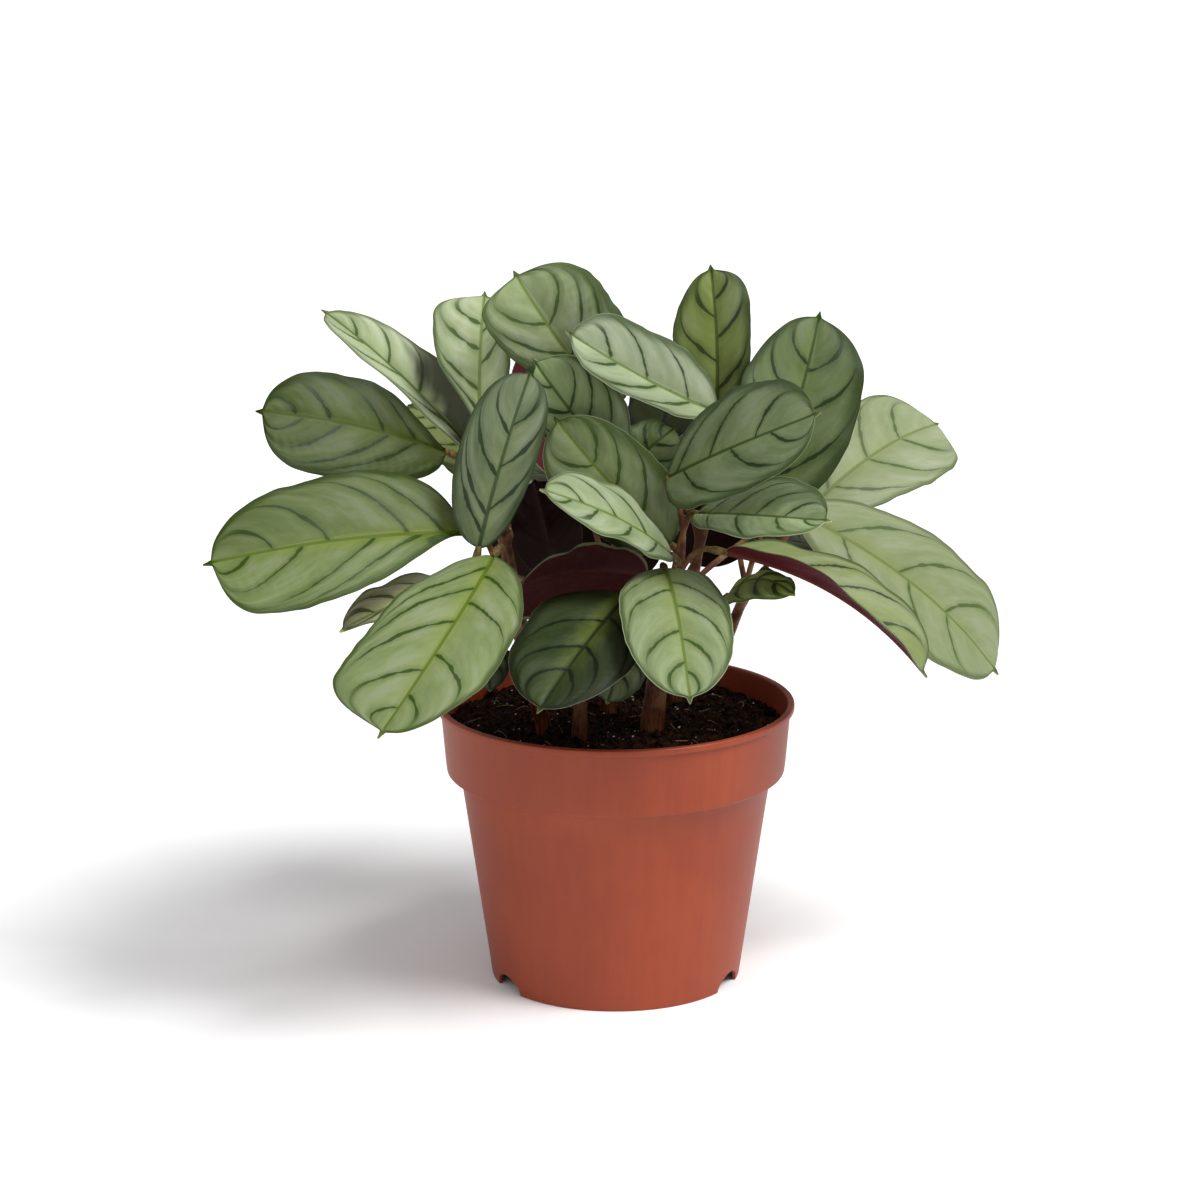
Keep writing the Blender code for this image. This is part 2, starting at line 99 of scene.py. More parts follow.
# %% Wires and finishes
class Wire:
    """A value on its way through a finish."""

    def __init__(self, finish, socket):
        self.finish = finish
        self.socket = socket

    def maths(self, operation, *others):
        sockets = dict(enumerate((self, *others)))
        return self.finish.node("Math", {"operation": operation}, sockets)

    def __add__(self, other):
        return self.maths("ADD", other)

    def __mul__(self, other):
        return self.maths("MULTIPLY", other)

    def __sub__(self, other):
        return self.maths("SUBTRACT", other)

    def __rsub__(self, other):
        return (self * -1.0) + other

    __radd__ = __add__
    __rmul__ = __mul__

    def above(self, level):
        return self.maths("GREATER_THAN", level)

    def size(self):
        return self.maths("ABSOLUTE")

    def rounded(self):
        return self.maths("ROUND")

    def most(self, other):
        return self.maths("MAXIMUM", other)

    def rise(self, start, end):
        """0 below start, 1 above end, smooth between; start may be above end."""
        span = {"interpolation_type": "SMOOTHSTEP"}
        return self.finish.node("MapRange", span, {"Value": self, "From Min": start, "From Max": end})


class Finish:
    """One material, with its nodes and its Principled shader."""

    def __init__(self, name):
        self.material = bpy.data.materials.new(name)
        self.material.use_nodes = True
        self.tree = self.material.node_tree
        self.shader = self.tree.nodes["Principled BSDF"]

    def node(self, kind, settings=None, sockets=None, output=0):
        """Adds a node: its options first, then its sockets' values or links."""
        made = self.tree.nodes.new("ShaderNode" + kind)
        for name, value in (settings or {}).items():
            setattr(made, name, value)
        for name, value in (sockets or {}).items():
            self.feed(made.inputs[name], value)
        return Wire(self, made.outputs[output])

    def feed(self, socket, value):
        if isinstance(value, Wire):
            self.tree.links.new(value.socket, socket)
        else:
            socket.default_value = value

    def set(self, **values):
        """Sets sockets of the shader; an underscore in a name stands for a space."""
        for name, value in values.items():
            self.feed(self.shader.inputs[name.replace("_", " ")], value)

    def parts(self, attribute):
        """The three numbers that the mesh carries under that name."""
        carried = self.node("Attribute", {"attribute_name": attribute}, output=1)
        split = self.node("SeparateXYZ", None, {0: carried})
        return [Wire(self, socket) for socket in split.socket.node.outputs]

    def vector(self, x, y, z):
        return self.node("CombineXYZ", None, {0: x, 1: y, 2: z})

    def noise(self, place, scale, detail=2.0, roughness=0.5):
        sockets = {"Vector": place, "Scale": scale, "Detail": detail, "Roughness": roughness}
        return self.node("TexNoise", {"noise_dimensions": "3D"}, sockets)

    def blend(self, share, low, high):
        """One colour turning into another as share goes from 0 to 1."""
        sockets = {0: share, 6: low, 7: high}
        return self.node("Mix", {"data_type": "RGBA"}, sockets, output=2)

    def spot(self):
        """The place of the point that is shaded, in metres."""
        return self.node("TexCoord", output=3)

    def streaked(self, place, upright):
        """A place squeezed along Z, so that noise on it runs in upright streaks."""
        sockets = {"Vector": place, "Scale": (1.0, 1.0, upright)}
        return self.node("Mapping", {"vector_type": "POINT"}, sockets)

    def toned(self, base, **values):
        """A colour with its Saturation or its Value multiplied."""
        return self.node("HueSaturation", None, {**values, "Color": base})

    def bump(self, height, strength, distance):
        sockets = {"Height": height, "Strength": strength, "Distance": distance}
        self.set(Normal=self.node("Bump", None, sockets))


def colour(red, green, blue):
    """A colour picked on a screen, 0 to 255, as linear light, with its alpha."""
    return tuple((part / 255.0) ** 2.2 for part in (red, green, blue)) + (1.0,)


print("a mid green reads", [round(part, 3) for part in colour(150, 170, 130)])

# %% [markdown]
# ## Placing pieces
# Every piece rides on the one rigid body and stands for a solid where it has one.

# %% Placing a piece
def place(name, mesh, finishes, slot, node=None, sharp=40.0):
    """Puts a mesh in the scene as a finished piece of the plant."""
    mesh.shade_smooth()
    mesh.set_sharp_from_angle(angle=math.radians(sharp))
    for finish in finishes:
        mesh.materials.append(finish.material)
    piece = add_object(name, mesh)
    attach(piece, "root")
    if node:
        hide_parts(node)
    return piece


def mesh_from(name, points, faces):
    """A mesh from points in millimetres."""
    mesh = bpy.data.meshes.new(name)
    mesh.from_pydata((np.asarray(points) * MM).tolist(), [], faces)
    mesh.update()
    return mesh


def mesh_of(name, bm):
    """The mesh of a bmesh, which is used up."""
    mesh = bpy.data.meshes.new(name)
    bm.to_mesh(mesh)
    bm.free()
    return mesh


def closed_mesh(name, bm):
    """The mesh of a closed bmesh in millimetres, with its faces turned out."""
    bmesh.ops.recalc_face_normals(bm, faces=bm.faces)
    bmesh.ops.scale(bm, vec=(MM, MM, MM), verts=bm.verts)
    return mesh_of(name, bm)


def carry(mesh, name, rows):
    """Stores three numbers a point on a mesh, for its finish to read."""
    layer = mesh.attributes.new(name, "FLOAT_VECTOR", "POINT")
    layer.data.foreach_set("vector", np.asarray(rows, np.float32).ravel())


def baked(thing):
    """The mesh that an object's modifiers or its curve bevel give."""
    graph = bpy.context.evaluated_depsgraph_get()
    return bpy.data.meshes.new_from_object(thing.evaluated_get(graph))


# %% [markdown]
# ## The floor and the light
# The plant stands on plain white paper. One wide soft light comes from the upper right and
# a little from the front, and throws a broad grey shadow to the left. The pale room fills
# the rest. A sun lamp with a wide angle is that soft light, and it lights the whole floor
# alike, so that the paper stays white up to the picture's edge.

# %% Floor and light
FLOOR_HALF = 12.0
KEY_FROM = (0.62, -0.36, 1.05)  # the way to the soft light
KEY_POWER = 3.3
KEY_ANGLE = 30.0
FILL_FROM = (-0.25, -0.9, 0.75)
FILL_POWER = 0.5
FILL_ANGLE = 60.0
ROOM = 0.45


def sun(name, away, power, angle):
    """A soft lamp that shines from that way."""
    lamp = bpy.data.lights.new(name, "SUN")
    lamp.energy = power
    lamp.angle = math.radians(angle)
    add_object(name, lamp).rotation_euler = Vector(away).to_track_quat("Z", "Y").to_euler()


corners = [(FLOOR_HALF * x, FLOOR_HALF * y, 0) for x, y in ((-1, -1), (1, -1), (1, 1), (-1, 1))]
paper = Finish("white paper")
grain = paper.noise(paper.spot(), 900.0, 3.0)
paper.set(Base_Color=paper.blend(grain, (0.90, 0.90, 0.90, 1), (0.93, 0.93, 0.93, 1)), Roughness=0.9)
floor_mesh = bpy.data.meshes.new("floor")
floor_mesh.from_pydata(corners, [], [(0, 1, 2, 3)])
floor_mesh.materials.append(paper.material)
add_object("floor", floor_mesh)

sun("key light", KEY_FROM, KEY_POWER, KEY_ANGLE)
sun("fill light", FILL_FROM, FILL_POWER, FILL_ANGLE)
room = bpy.data.worlds.new("pale room")
room.use_nodes = True
background = room.node_tree.nodes["Background"]
background.inputs["Color"].default_value = (1.0, 1.0, 1.0, 1.0)
background.inputs["Strength"].default_value = ROOM
bpy.context.scene.world = room
bpy.context.scene.view_settings.view_transform = "Standard"
print("key light from", KEY_FROM, "over a floor", 2 * FLOOR_HALF, "m wide")

# %% [markdown]
# ## The blades' table
# A real blade is a slightly folded oblong that arches along its midrib and ends in a short
# point. One formula can draw all forty, if each has its own row: where the midrib starts
# and ends, which way the upper side looks, how wide each half is and where. The rows
# repeat the solids' numbers. To them come the looks: the ground tone, which holds painted
# light and shade as well as the blade's own colour, and for each half the places along the
# midrib where a dark band leaves it.
#
# Most rows were laid out one by one. In rows 3, 4, 6, 7, 13 to 17, 19 and 21 to 23 a search
# by another program set most numbers of the shape, so those are odd ones and not a design. A
# better table would have them chosen by hand.

# %% Rows
@dataclass
class Leaf:
    """One blade: base and tip of its midrib, where its upper side looks, its halves, its looks.

    The fields down to stalk mean what they mean in the solids. Pairs are for the left and
    the right half. left and right list where the dark bands leave the midrib, as shares of
    it, and rake is how far they run ahead. gain is how bright the upper side is, its own
    tone and painted shade in one, and shade is painted light and shade on each half, as it
    lies to the light; pure is how strong its colour is, light how much of it is pale, and
    warm how yellow it is by the midrib. dusk is painted shade on the right half near the
    base, and below is how bright the lower side is, under 1 as painted shade. edge is how
    wide the dark rim of each half is, partly its own darker margin and partly painted
    shade, hem the pale turned edge of the lower side, torn frays the tip, and worn adds
    pale scars and a pale line along the margin, partly its pale edge and partly a painted
    glint.
    """

    shoot: str
    base: tuple
    tip: tuple
    width: float
    faces: tuple
    arch: float = 5.0
    bend: float = 0.0
    side: float = 0.0
    wide: tuple = (0.52, 0.52)
    heel: tuple = (1.0, 1.0)
    full: tuple = (2.6, 2.6)
    end: float = 0.965
    fold: tuple = (10, 10)
    twist: float = 0.0
    neck: float = 8.0
    sway: tuple = (0, 0, 0)
    stalk: tuple = None
    tone: str = "silver"
    left: tuple = ()
    right: tuple = ()
    rake: tuple = (1.0, 1.0)
    # The blade's own tone and painted shade in one
    gain: float = 1.0
    pure: float = 1.0
    light: float = 0.0
    warm: float = 0.3
    # The dark rim: partly the blade's own darker margin, partly painted shade
    edge: tuple = (1.8, 1.8)
    # Painted shade on the right half near the base
    dusk: float = 0.0
    # Under 1 it is painted shade on the lower side
    below: float = 1.0
    # Painted light and shade on each half
    shade: tuple = (1.0, 1.0)
    hem: float = 0.0
    torn: float = 0.0
    # Pale scars, and a pale margin line that is partly a painted glint
    wear_and_glint: float = 0.0


# Blades whose lower side shows in the gaps between the others; below darkens it as painted shade
SHADED_BACK = dict(tone="olive", left=(0.3, 0.6), right=(0.25, 0.55), below=0.24)

LEAVES = [
    Leaf(
        "left_rear", (-56, -3, 181), (-116, -25, 199), 36.5, (-15, 35), side=-0.03, wide=(0.67, 0.58),
        heel=(1, 2.4), full=(3.6, 2.6), left=(0.16, 0.32, 0.57, 0.77), right=(0.18, 0.36, 0.64, 0.81),
        dusk=0.35, gain=0.34, pure=1.3, rake=(1.45, 0.7), light=-0.15, edge=(2.2, 3.4),
    ),
    Leaf(
        "left", (-49, -34, 161), (-130, -62, 157), 47, (-10, 40), side=0.02, wide=(0.74, 0.30),
        heel=(3, 1), full=(4.5, 2.6), neck=4, left=(0.17, 0.35, 0.63, 0.83),
        right=(0.08, 0.22, 0.53, 0.74), shade=(1.12, 0.85), gain=0.54, pure=1.22, rake=(1.4, 0.8),
        warm=0.6, edge=(2, 2.2),
    ),
    Leaf(
        "left_rear", (-45, 10, 174.5), (-98, 22, 224), 24.5, (-60, 60), side=0.07, wide=(0.8, 0.28),
        full=(3.0, 1.4), fold=(45, 40), left=(0.25, 0.53, 0.75), right=(0.42, 0.61, 0.8),
        shade=(0.9, 1.15), dusk=0.9, gain=1.45, pure=0.78, rake=(0.9, 0.45), light=0.3, warm=0.2,
        edge=(1.2, 1.2), torn=0.5, wear_and_glint=0.2,
    ),
    Leaf(
        "left_rear", (-44.5, 0, 182), (-43, 8, 232.5), 26.5, (-10, 15), side=-0.12, wide=(0.8, 0.6),
        heel=(5, 1), full=(4.5, 4.0), left=(0.22, 0.37, 0.63, 0.79), right=(0.53, 0.73), gain=1.45,
        pure=0.83, rake=(0.7, 1.1), light=0.2, warm=0.4, edge=(1.2, 1.4), wear_and_glint=0.1,
    ),
    Leaf(
        "left", (-44, -38, 157), (-26, -26, 216), 25, (5, 10), bend=-1.2, side=-0.07, wide=(0.5, 0.6),
        full=(2.6, 2.8), end=0.92, sway=(0, 4, 0), tone="blue", left=(0.07, 0.17, 0.38, 0.6),
        right=(0.2, 0.43, 0.65), rake=(1.05, 0.85), pure=0.8, edge=(1.5, 1.8),
    ),
    Leaf(
        "upper", (-0.5, 12, 192.5), (-33, -12, 242.5), 39, (-5, 13), arch=3, bend=-1.3, side=0.06,
        wide=(0.8, 0.53), heel=(4, 1), full=(4.5, 4.5), left=(0.22, 0.45, 0.66),
        right=(0.2, 0.42, 0.64), shade=(1.1, 0.88), gain=1.4, pure=0.87, rake=(1.15, 1.6), light=-0.15,
        warm=0.2, edge=(2.2, 4.5),
    ),
    Leaf(
        "right_rear", (33.5, 14, 191), (-16, -25, 225), 25, (-6, 36), arch=3, bend=-3.5, side=0.14,
        wide=(0.8, 0.38), full=(4.5, 4.5), fold=(10, 18), tone="bright", left=(0.2, 0.44, 0.7),
        right=(0.22, 0.51, 0.74), shade=(1.1, 0.85), gain=0.87, pure=0.9, rake=(0.95, 0.75), light=0.2,
        edge=(1, 3), torn=0.8, wear_and_glint=0.5,
    ),
    Leaf(
        "upper", (1, -2, 176), (-27, -18, 215), 29, (-20, 40), bend=-2, side=0.07, tone="blue",
        left=(0.33, 0.58, 0.78), right=(0.18, 0.42, 0.6), gain=1.62, pure=0.97, rake=(1, 1.2),
        light=0.35, warm=0.1, edge=(2, 2), wear_and_glint=0.35,
    ),
    Leaf(
        "middle", (18, -8, 151), (-20, -24, 197), 32, (-20, 35), bend=-1.5, side=0.01, wide=(0.64, 0.4),
        left=(0.22, 0.45, 0.67), right=(0.27, 0.5, 0.68), dusk=0.1, gain=0.68, light=-0.25, edge=(2, 4),
        wear_and_glint=0.4,
    ),
    Leaf(
        "middle", (18, -23, 151), (-24, -56, 180), 26, (-15, 50), bend=-2, side=0.08, wide=(0.57, 0.47),
        tone="bright", left=(0.17, 0.4, 0.65, 0.82), right=(0.26, 0.51, 0.74), gain=0.9,
        rake=(0.55, 0.9), edge=(1.2, 1.2), wear_and_glint=0.4,
    ),
    Leaf(
        "middle", (17, -20, 176), (64, -62, 206), 40, (5, 40), bend=3, side=-0.04, full=(2.6, 4.2),
        stalk=(-0.1, -0.5, 0.86), sway=(6, 3, 0), tone="blue", left=(0.08, 0.35, 0.65),
        right=(0.15, 0.5, 0.74), gain=1.03, pure=0.92, rake=(0.9, 1.1), light=0.35, warm=0.2,
        edge=(4.2, 2), wear_and_glint=0.1,
    ),
    Leaf(
        "upper", (2, 18, 167), (20, 26, 183), 20, (0, 30), tone="blue", left=(0.2, 0.5, 0.75),
        right=(0.12, 0.35, 0.62), gain=1.08, pure=1.1, light=0.1, edge=(1.6, 1.6),
    ),
    Leaf(
        "middle", (26.5, -20, 164), (67.5, -68, 172.5), 29, (-6, 53), bend=4.8, side=-0.14,
        wide=(0.56, 0.8), full=(2.1, 1.4), tone="blue", left=(0.14, 0.33, 0.55, 0.74),
        right=(0.17, 0.43, 0.7, 0.86), shade=(0.85, 1.15), gain=2.05, pure=0.85, rake=(0.85, 0.5),
        light=-0.3, edge=(2.4, 1.4), wear_and_glint=0.2,
    ),
    Leaf(
        "right_rear", (33.5, 23, 186), (31.5, 26, 238.5), 26.5, (5, 5), bend=0.8, side=-0.06,
        wide=(0.59, 0.68), full=(1.4, 4.5), tone="olive", left=(0.13, 0.4, 0.68),
        right=(0.22, 0.55, 0.79), shade=(1.15, 0.85), gain=0.8, pure=1.02, rake=(0.95, 0.85),
        edge=(2.6, 3),
    ),
    Leaf(
        "middle", (50, 6, 160), (68.5, 30, 222), 41.5, (10, 10), wide=(0.57, 0.57), full=(1.4, 2.7),
        tone="blue", left=(0.1, 0.33, 0.52, 0.72), right=(0.17, 0.47, 0.69), shade=(1.1, 0.92),
        gain=0.66, pure=1.15, rake=(0.85, 1), light=0.45, edge=(2.6, 4.8),
    ),
    Leaf(
        "right", (67.5, 18, 159.5), (112.5, 68, 176), 41.5, (13, 49), bend=-1.2, side=-0.01,
        wide=(0.49, 0.64), full=(4.5, 3.0), tone="lime", left=(0.1, 0.4, 0.66),
        right=(0.12, 0.39, 0.66), gain=0.83, pure=0.8, rake=(0.85, 0.85), light=0.1, warm=0.7,
        edge=(1.4, 1.4),
    ),
    Leaf(
        "right", (60.5, -2, 160), (130.5, 22, 98), 43.5, (21, 42), arch=8, bend=-0.8, side=-0.03,
        wide=(0.8, 0.65), full=(1.6, 1.4), tone="lime", left=(0.14, 0.41, 0.65),
        right=(0.17, 0.46, 0.66), gain=0.74, pure=0.86, rake=(1, 0.55), light=-0.1, warm=0.7,
        edge=(1.6, 2.2), wear_and_glint=0.45,
    ),
    Leaf(
        "middle", (36, -24, 152), (101, -36, 113), 34, (60, 70), arch=8, fold=(30, 40), twist=-24,
        tone="olive", left=(0.25, 0.45, 0.7), right=(0.2, 0.42, 0.66), gain=1.14, pure=0.88, light=0.2,
        warm=0.4, edge=(1.4, 1.4),
    ),
    Leaf(
        "middle", (37, -12, 134.5), (58, -34, 140), 21, (26, 40), bend=-2.3, side=0.25, wide=(0.3, 0.3),
        full=(4.5, 1.4), tone="olive", left=(0.2, 0.45, 0.7), right=(0.25, 0.5, 0.74), gain=1.6,
        light=-0.2, edge=(1.2, 1.2),
    ),
    Leaf(
        "middle", (16, -27, 147), (23, -95, 121), 35, (5, 55), arch=7, side=0.02,
        left=(0.18, 0.41, 0.65, 0.84), right=(0.05, 0.27, 0.6, 0.79), rake=(1, 0.75), gain=0.9,
        pure=0.95, light=0.2, warm=0.7, edge=(1.6, 1.4), wear_and_glint=0.6,
    ),
    Leaf(
        "front", (4, -28, 138.5), (-24.5, -88, 116), 40, (-7, 50), arch=6, bend=-1.8, side=0.04,
        wide=(0.52, 0.43), full=(1.8, 3.5), tone="deep", left=(0.28, 0.55, 0.72),
        right=(0.33, 0.56, 0.73), shade=(0.8, 1.2), dusk=0.1, gain=0.54, pure=1.08, rake=(1.1, 1),
        light=0.1, warm=0.6, edge=(1.8, 3), wear_and_glint=0.2,
    ),
    Leaf(
        "left", (-39, -42, 155), (-73, -104, 112.5), 47, (-12, 56), arch=6, bend=-4.3, side=0.04,
        wide=(0.58, 0.8), heel=(1.5, 1), full=(1.5, 4.5), left=(0.14, 0.31, 0.6, 0.8),
        right=(0.08, 0.22, 0.42, 0.68, 0.86), gain=0.76, pure=1.07, rake=(0.5, 1.1), light=0.3,
        warm=0.8, edge=(1.6, 1.2), wear_and_glint=0.15,
    ),
    Leaf(
        "left", (-44, -24, 139), (-88.5, -48, 131.5), 17, (-30, 50), side=0.2, wide=(0.5, 0.57),
        full=(2.0, 1.6), tone="grey", left=(0.2, 0.45, 0.7), right=(0.3, 0.55, 0.74), gain=3.15,
        edge=(1.2, 1.2),
    ),
    Leaf(
        "middle", (10, -14, 142), (-32, -46, 145), 36, (180, 30), side=0.14, wide=(0.52, 0.66),
        tone="deep", left=(0.2, 0.42, 0.66), right=(0.25, 0.48, 0.72), below=0.6, hem=1.2,
        edge=(1.6, 1.6),
    ),
    Leaf(
        "front", (4, -13, 117), (-3, -36, 104), 18, (10, 45), tone="deep", left=(0.3, 0.6),
        right=(0.25, 0.55), gain=2.4, pure=0.75, edge=(1.4, 1.4),
    ),
    Leaf(
        "left", (-42, -14, 119), (-41, -32, 107), 14, (0, 40), tone="deep", left=(0.3, 0.6),
        right=(0.25, 0.55), gain=0.8, pure=0.8, light=0.2, edge=(1.2, 1.2),
    ),
    Leaf(
        "left_rear", (-20, -3, 139), (-27, 1, 171), 23, (180, 10), wide=(0.42, 0.42), gain=0.6,
        **SHADED_BACK,
    ),
    Leaf("rear", (-16, 48, 158), (-50, 104, 150), 35, (-135, 55)),
    Leaf("rear", (-13, 46, 160), (-27, 76, 206), 30, (195, 20)),
    Leaf("rear", (27, 50, 130), (46, 68, 174), 36, (165, 15), **SHADED_BACK),
    Leaf("right_rear", (46, 34, 176), (66, 72, 204), 28, (130, 40)),
    Leaf("left_rear", (-46, 20, 172), (-72, 60, 184), 30, (-120, 50)),
    # This blade lies deep among the others; its gain of 0.1 is painted shade
    Leaf(
        "right_rear", (14, 34, 176), (30, 85, 196), 32, (165, 45), tone="olive", left=(0.3, 0.6),
        right=(0.25, 0.55), gain=0.1, pure=1.4,
    ),
    Leaf("rear", (3, 54, 122), (-2, 64, 164), 34, (180, 15), **SHADED_BACK),
    Leaf("rear", (-20, 45, 120), (-34, 47, 154), 29, (200, 12), **SHADED_BACK),
    Leaf("left_rear", (-40, 26, 150), (-78, 72, 130), 34, (-130, 50)),
    Leaf("right", (48, 30, 142), (84, 76, 124), 34, (120, 50)),
    Leaf("rear", (9, 42, 170), (21, 98, 170), 32, (175, 60)),
    Leaf("right_rear", (44, 30, 158), (82, 72, 158), 28, (130, 50)),
    Leaf("left_rear", (-34, 30, 162), (-62, 82, 166), 30, (-140, 50)),
]

# Rear blades, of which the viewer sees slivers at most, take turns at these tones
REAR_TONES = ("silver", "blue", "silver", "lime", "olive", "silver", "blue")
REAR_LIGHTS = (0.1, -0.2, 0.25, 0.0, -0.1, 0.05, 0.2, -0.3)
for number, leaf in enumerate(LEAVES, 1):
    if not leaf.left:
        leaf.tone = REAR_TONES[number % len(REAR_TONES)]
        leaf.light = REAR_LIGHTS[number % len(REAR_LIGHTS)]

SHOOTS = {  # foot at the soil, top of the sheath, how stout
    "left": ((-24, -14), (-34, -22, 132), 1.0),
    "left_rear": ((-27, 14), (-37, 8, 150), 1.0),
    "front": ((-12, -23), (-11, -20, 112), 1.0),
    "middle": ((12, -16), (16, -13, 126), 1.5),
    "upper": ((-3, 8), (1, 4, 150), 1.0),
    "right": ((32, 36), (43, 11, 128), 1.0),
    "right_rear": ((20, 22), (29, 25, 148), 1.0),
    "rear": ((-6, 34), (-2, 38, 130), 1.0),
}
print(len(LEAVES), "blades on", len(SHOOTS), "shoots")

# %% [markdown]
# ## The shape of a blade
# The upper side is one formula of two numbers: along, from the base to the tip, and
# across, from the left margin to the right one. It is the solids' formula, worked out for
# a whole grid of points at once. An oblong gives the outline, a parabola the arch, and a
# fold with a turned-down edge the cross-section. Modelling each blade by hand would give
# freer shapes, but forty of them would never agree with their solids.

# %% Blade formula
BASE_FULLNESS = 2.2
NECK_WIDTH = 2.4
POINT_END = 0.15
POINT_FLARE = 30.0
WAVES = 2.5
WAVE_SHIFT = 1.95
WAVE = 0.8
CURL = 18.0


def unit(vectors):
    """Vectors of length one."""
    return vectors / np.linalg.norm(vectors, axis=-1, keepdims=True)


def direction(azimuth, elevation):
    """The unit vector that looks that way from the plant; azimuth 0 is the viewer."""
    across, up = math.radians(azimuth), math.radians(elevation)
    return np.array((math.sin(across) * math.cos(up), -math.cos(across) * math.cos(up), math.sin(up)))


def swapped(across, pair):
    """The left half's number where across is negative, else the right half's."""
    return np.where(across > 0, pair[1], pair[0])


class Blade:
    """The upper side of one blade."""

    def __init__(self, leaf):
        self.leaf = leaf
        self.base = np.array(leaf.base, float)
        self.chord = np.array(leaf.tip, float) - self.base
        self.length = float(np.linalg.norm(self.chord))
        line = unit(self.chord)
        faces = direction(*leaf.faces)
        self.up = unit(faces - line * faces.dot(line))
        self.right = np.cross(line, self.up)

    def frame(self, along):
        """The midrib's points, the ways to the right margin and the upper side's normals."""
        along = np.asarray(along, float)[..., None]
        swell = 4.0 * along * (1.0 - along)
        slope = 4.0 * (1.0 - 2.0 * along)
        rise = self.up * self.leaf.arch + self.right * self.leaf.bend
        line = unit(self.chord + rise * slope)
        up = unit(self.up - line * (line @ self.up)[..., None])
        right = np.cross(line, up)
        turn = math.radians(self.leaf.twist) * (along - 0.5)
        cosine, sine = np.cos(turn), np.sin(turn)
        middle = self.base + self.chord * along + rise * swell
        return middle, line, right * cosine + up * sine, up * cosine - right * sine

    def half_width(self, along, across):
        """The width of the half that across is in, 1 at its widest."""
        leaf = self.leaf
        rounded = np.minimum(along / leaf.end, 1.0)
        widest = swapped(across, leaf.wide)
        to_base = np.clip((widest - rounded) / widest, 0.0, 1.0)
        to_tip = np.clip((rounded - widest) / (1.0 - widest), 0.0, 1.0)
        base_end = (1.0 - to_base**BASE_FULLNESS) ** (0.5 * swapped(across, leaf.heel))
        tip_end = (1.0 - to_tip ** swapped(across, leaf.full)) ** 0.5
        return np.where(rounded < widest, base_end, tip_end)


sample = Blade(LEAVES[0])
print("first blade", round(sample.length, 1), "mm long")

# %% [markdown]
# ## Where the bands run
# A band leaves the midrib nearly square, sweeps out, and bends towards the tip along
# the margin, as the side veins do. So every point of a blade lies on one such vein path,
# and the place where that path leaves the midrib tells which band is near. A smooth curve
# through the bands' places turns it into a phase that is a whole number on each band. The
# mesh carries the phase, and the finish draws a line wherever it is whole.

# %% Vein paths and phases
SWEEP = 0.12
SWEEP_MORE = 0.12
TAIL = 0.03
TAIL_END = 1.08
BAND_STEP = 0.23
PHASE_MARGIN = 0.42


def vein_path(reach):
    """How far ahead of its start a vein is at that share of the half's width."""
    return SWEEP * reach + SWEEP_MORE * reach**2 + TAIL * reach / (TAIL_END - reach)


def band_starts(given, draw):
    """The given places, or about even ones for a rear blade."""
    if given:
        return list(given)
    first = draw.uniform(0.12, 0.24)
    return [first + BAND_STEP * (step + draw.uniform(-0.12, 0.12)) for step in range(4)]


def phase_at(starts, spot):
    """The phase at a midrib place, and how much midrib one phase spans there."""
    knots = np.array(starts)
    index = np.arange(len(knots))
    slopes = np.gradient(index, knots)
    low = np.clip(np.searchsorted(knots, spot) - 1, 0, len(knots) - 2)
    width = knots[low + 1] - knots[low]
    t = (spot - knots[low]) / width
    # A Hermite curve between two bands, a straight line beyond the outer ones
    inner = (
        index[low] * (1 + 2 * t) * (1 - t) ** 2 + index[low + 1] * t * t * (3 - 2 * t)
        + width * t * (1 - t) * (slopes[low] * (1 - t) - slopes[low + 1] * t)
    )
    before = (spot - knots[0]) * slopes[0]
    after = index[-1] + (spot - knots[-1]) * slopes[-1]
    phase = np.where(t < 0, before, np.where((low == len(knots) - 2) & (t > 1), after, inner))
    phase = np.clip(phase, -PHASE_MARGIN, index[-1] + PHASE_MARGIN)
    span = 1.0 / np.interp(spot, knots, slopes)
    return phase, span


probe, _ = phase_at((0.1, 0.3, 0.6), np.array((0.1, 0.2, 0.3, 0.6)))
print("phases at the bands and between", [round(float(value), 2) for value in probe])

# %% [markdown]
# ## A blade's mesh
# The real blade is a third of a millimetre thick and thinner at its margin, with a rib
# below and a groove above the midrib. The solid has to be thicker and plainer. Here the
# formula is laid on a fine grid, once for the upper side and once for the lower one, and
# the two are joined round the margin, so that light and shadow find a real edge.

# %% Blade grid and relief
ROWS = 84
HALF_COLUMNS = 15
BLADE_THICKNESS = 0.36
MARGIN_THICKNESS = 0.16
RIB_HEIGHT = 0.85
RIB_HALF = 0.95
GROOVE_DEPTH = 0.22
PLEAT_HEIGHT = 0.10
PLEAT_STEP = 3.4
BAND_DENT = 0.05
QUILT = 0.34
PUCKER = 0.16
TIP_PACES = (19, 37, 64)  # how fast the tip's frayed outline goes in and out
EDGE_PACES = (9, 21, 33)  # how fast the margin goes up and down
EDGE_SWAY = 0.35
HALF_OFFSET = 61.0  # moves the noise of the right half away from the left one's
BLADE_OFFSET = 137.0

even = np.linspace(0.0, 1.0, ROWS + 1)
ALONG = 0.45 * even + 0.55 * (0.5 - 0.5 * np.cos(math.pi * even))
out = np.linspace(0.0, 1.0, HALF_COLUMNS + 1)[1:]
half = 0.35 * out**1.3 + 0.65 * np.sin(0.5 * math.pi * out)
ACROSS = np.concatenate([-half[::-1], [0.0], half])


SIDES = np.array([1.0, 0.0])[:, None, None]  # what tells the upper side from the lower one


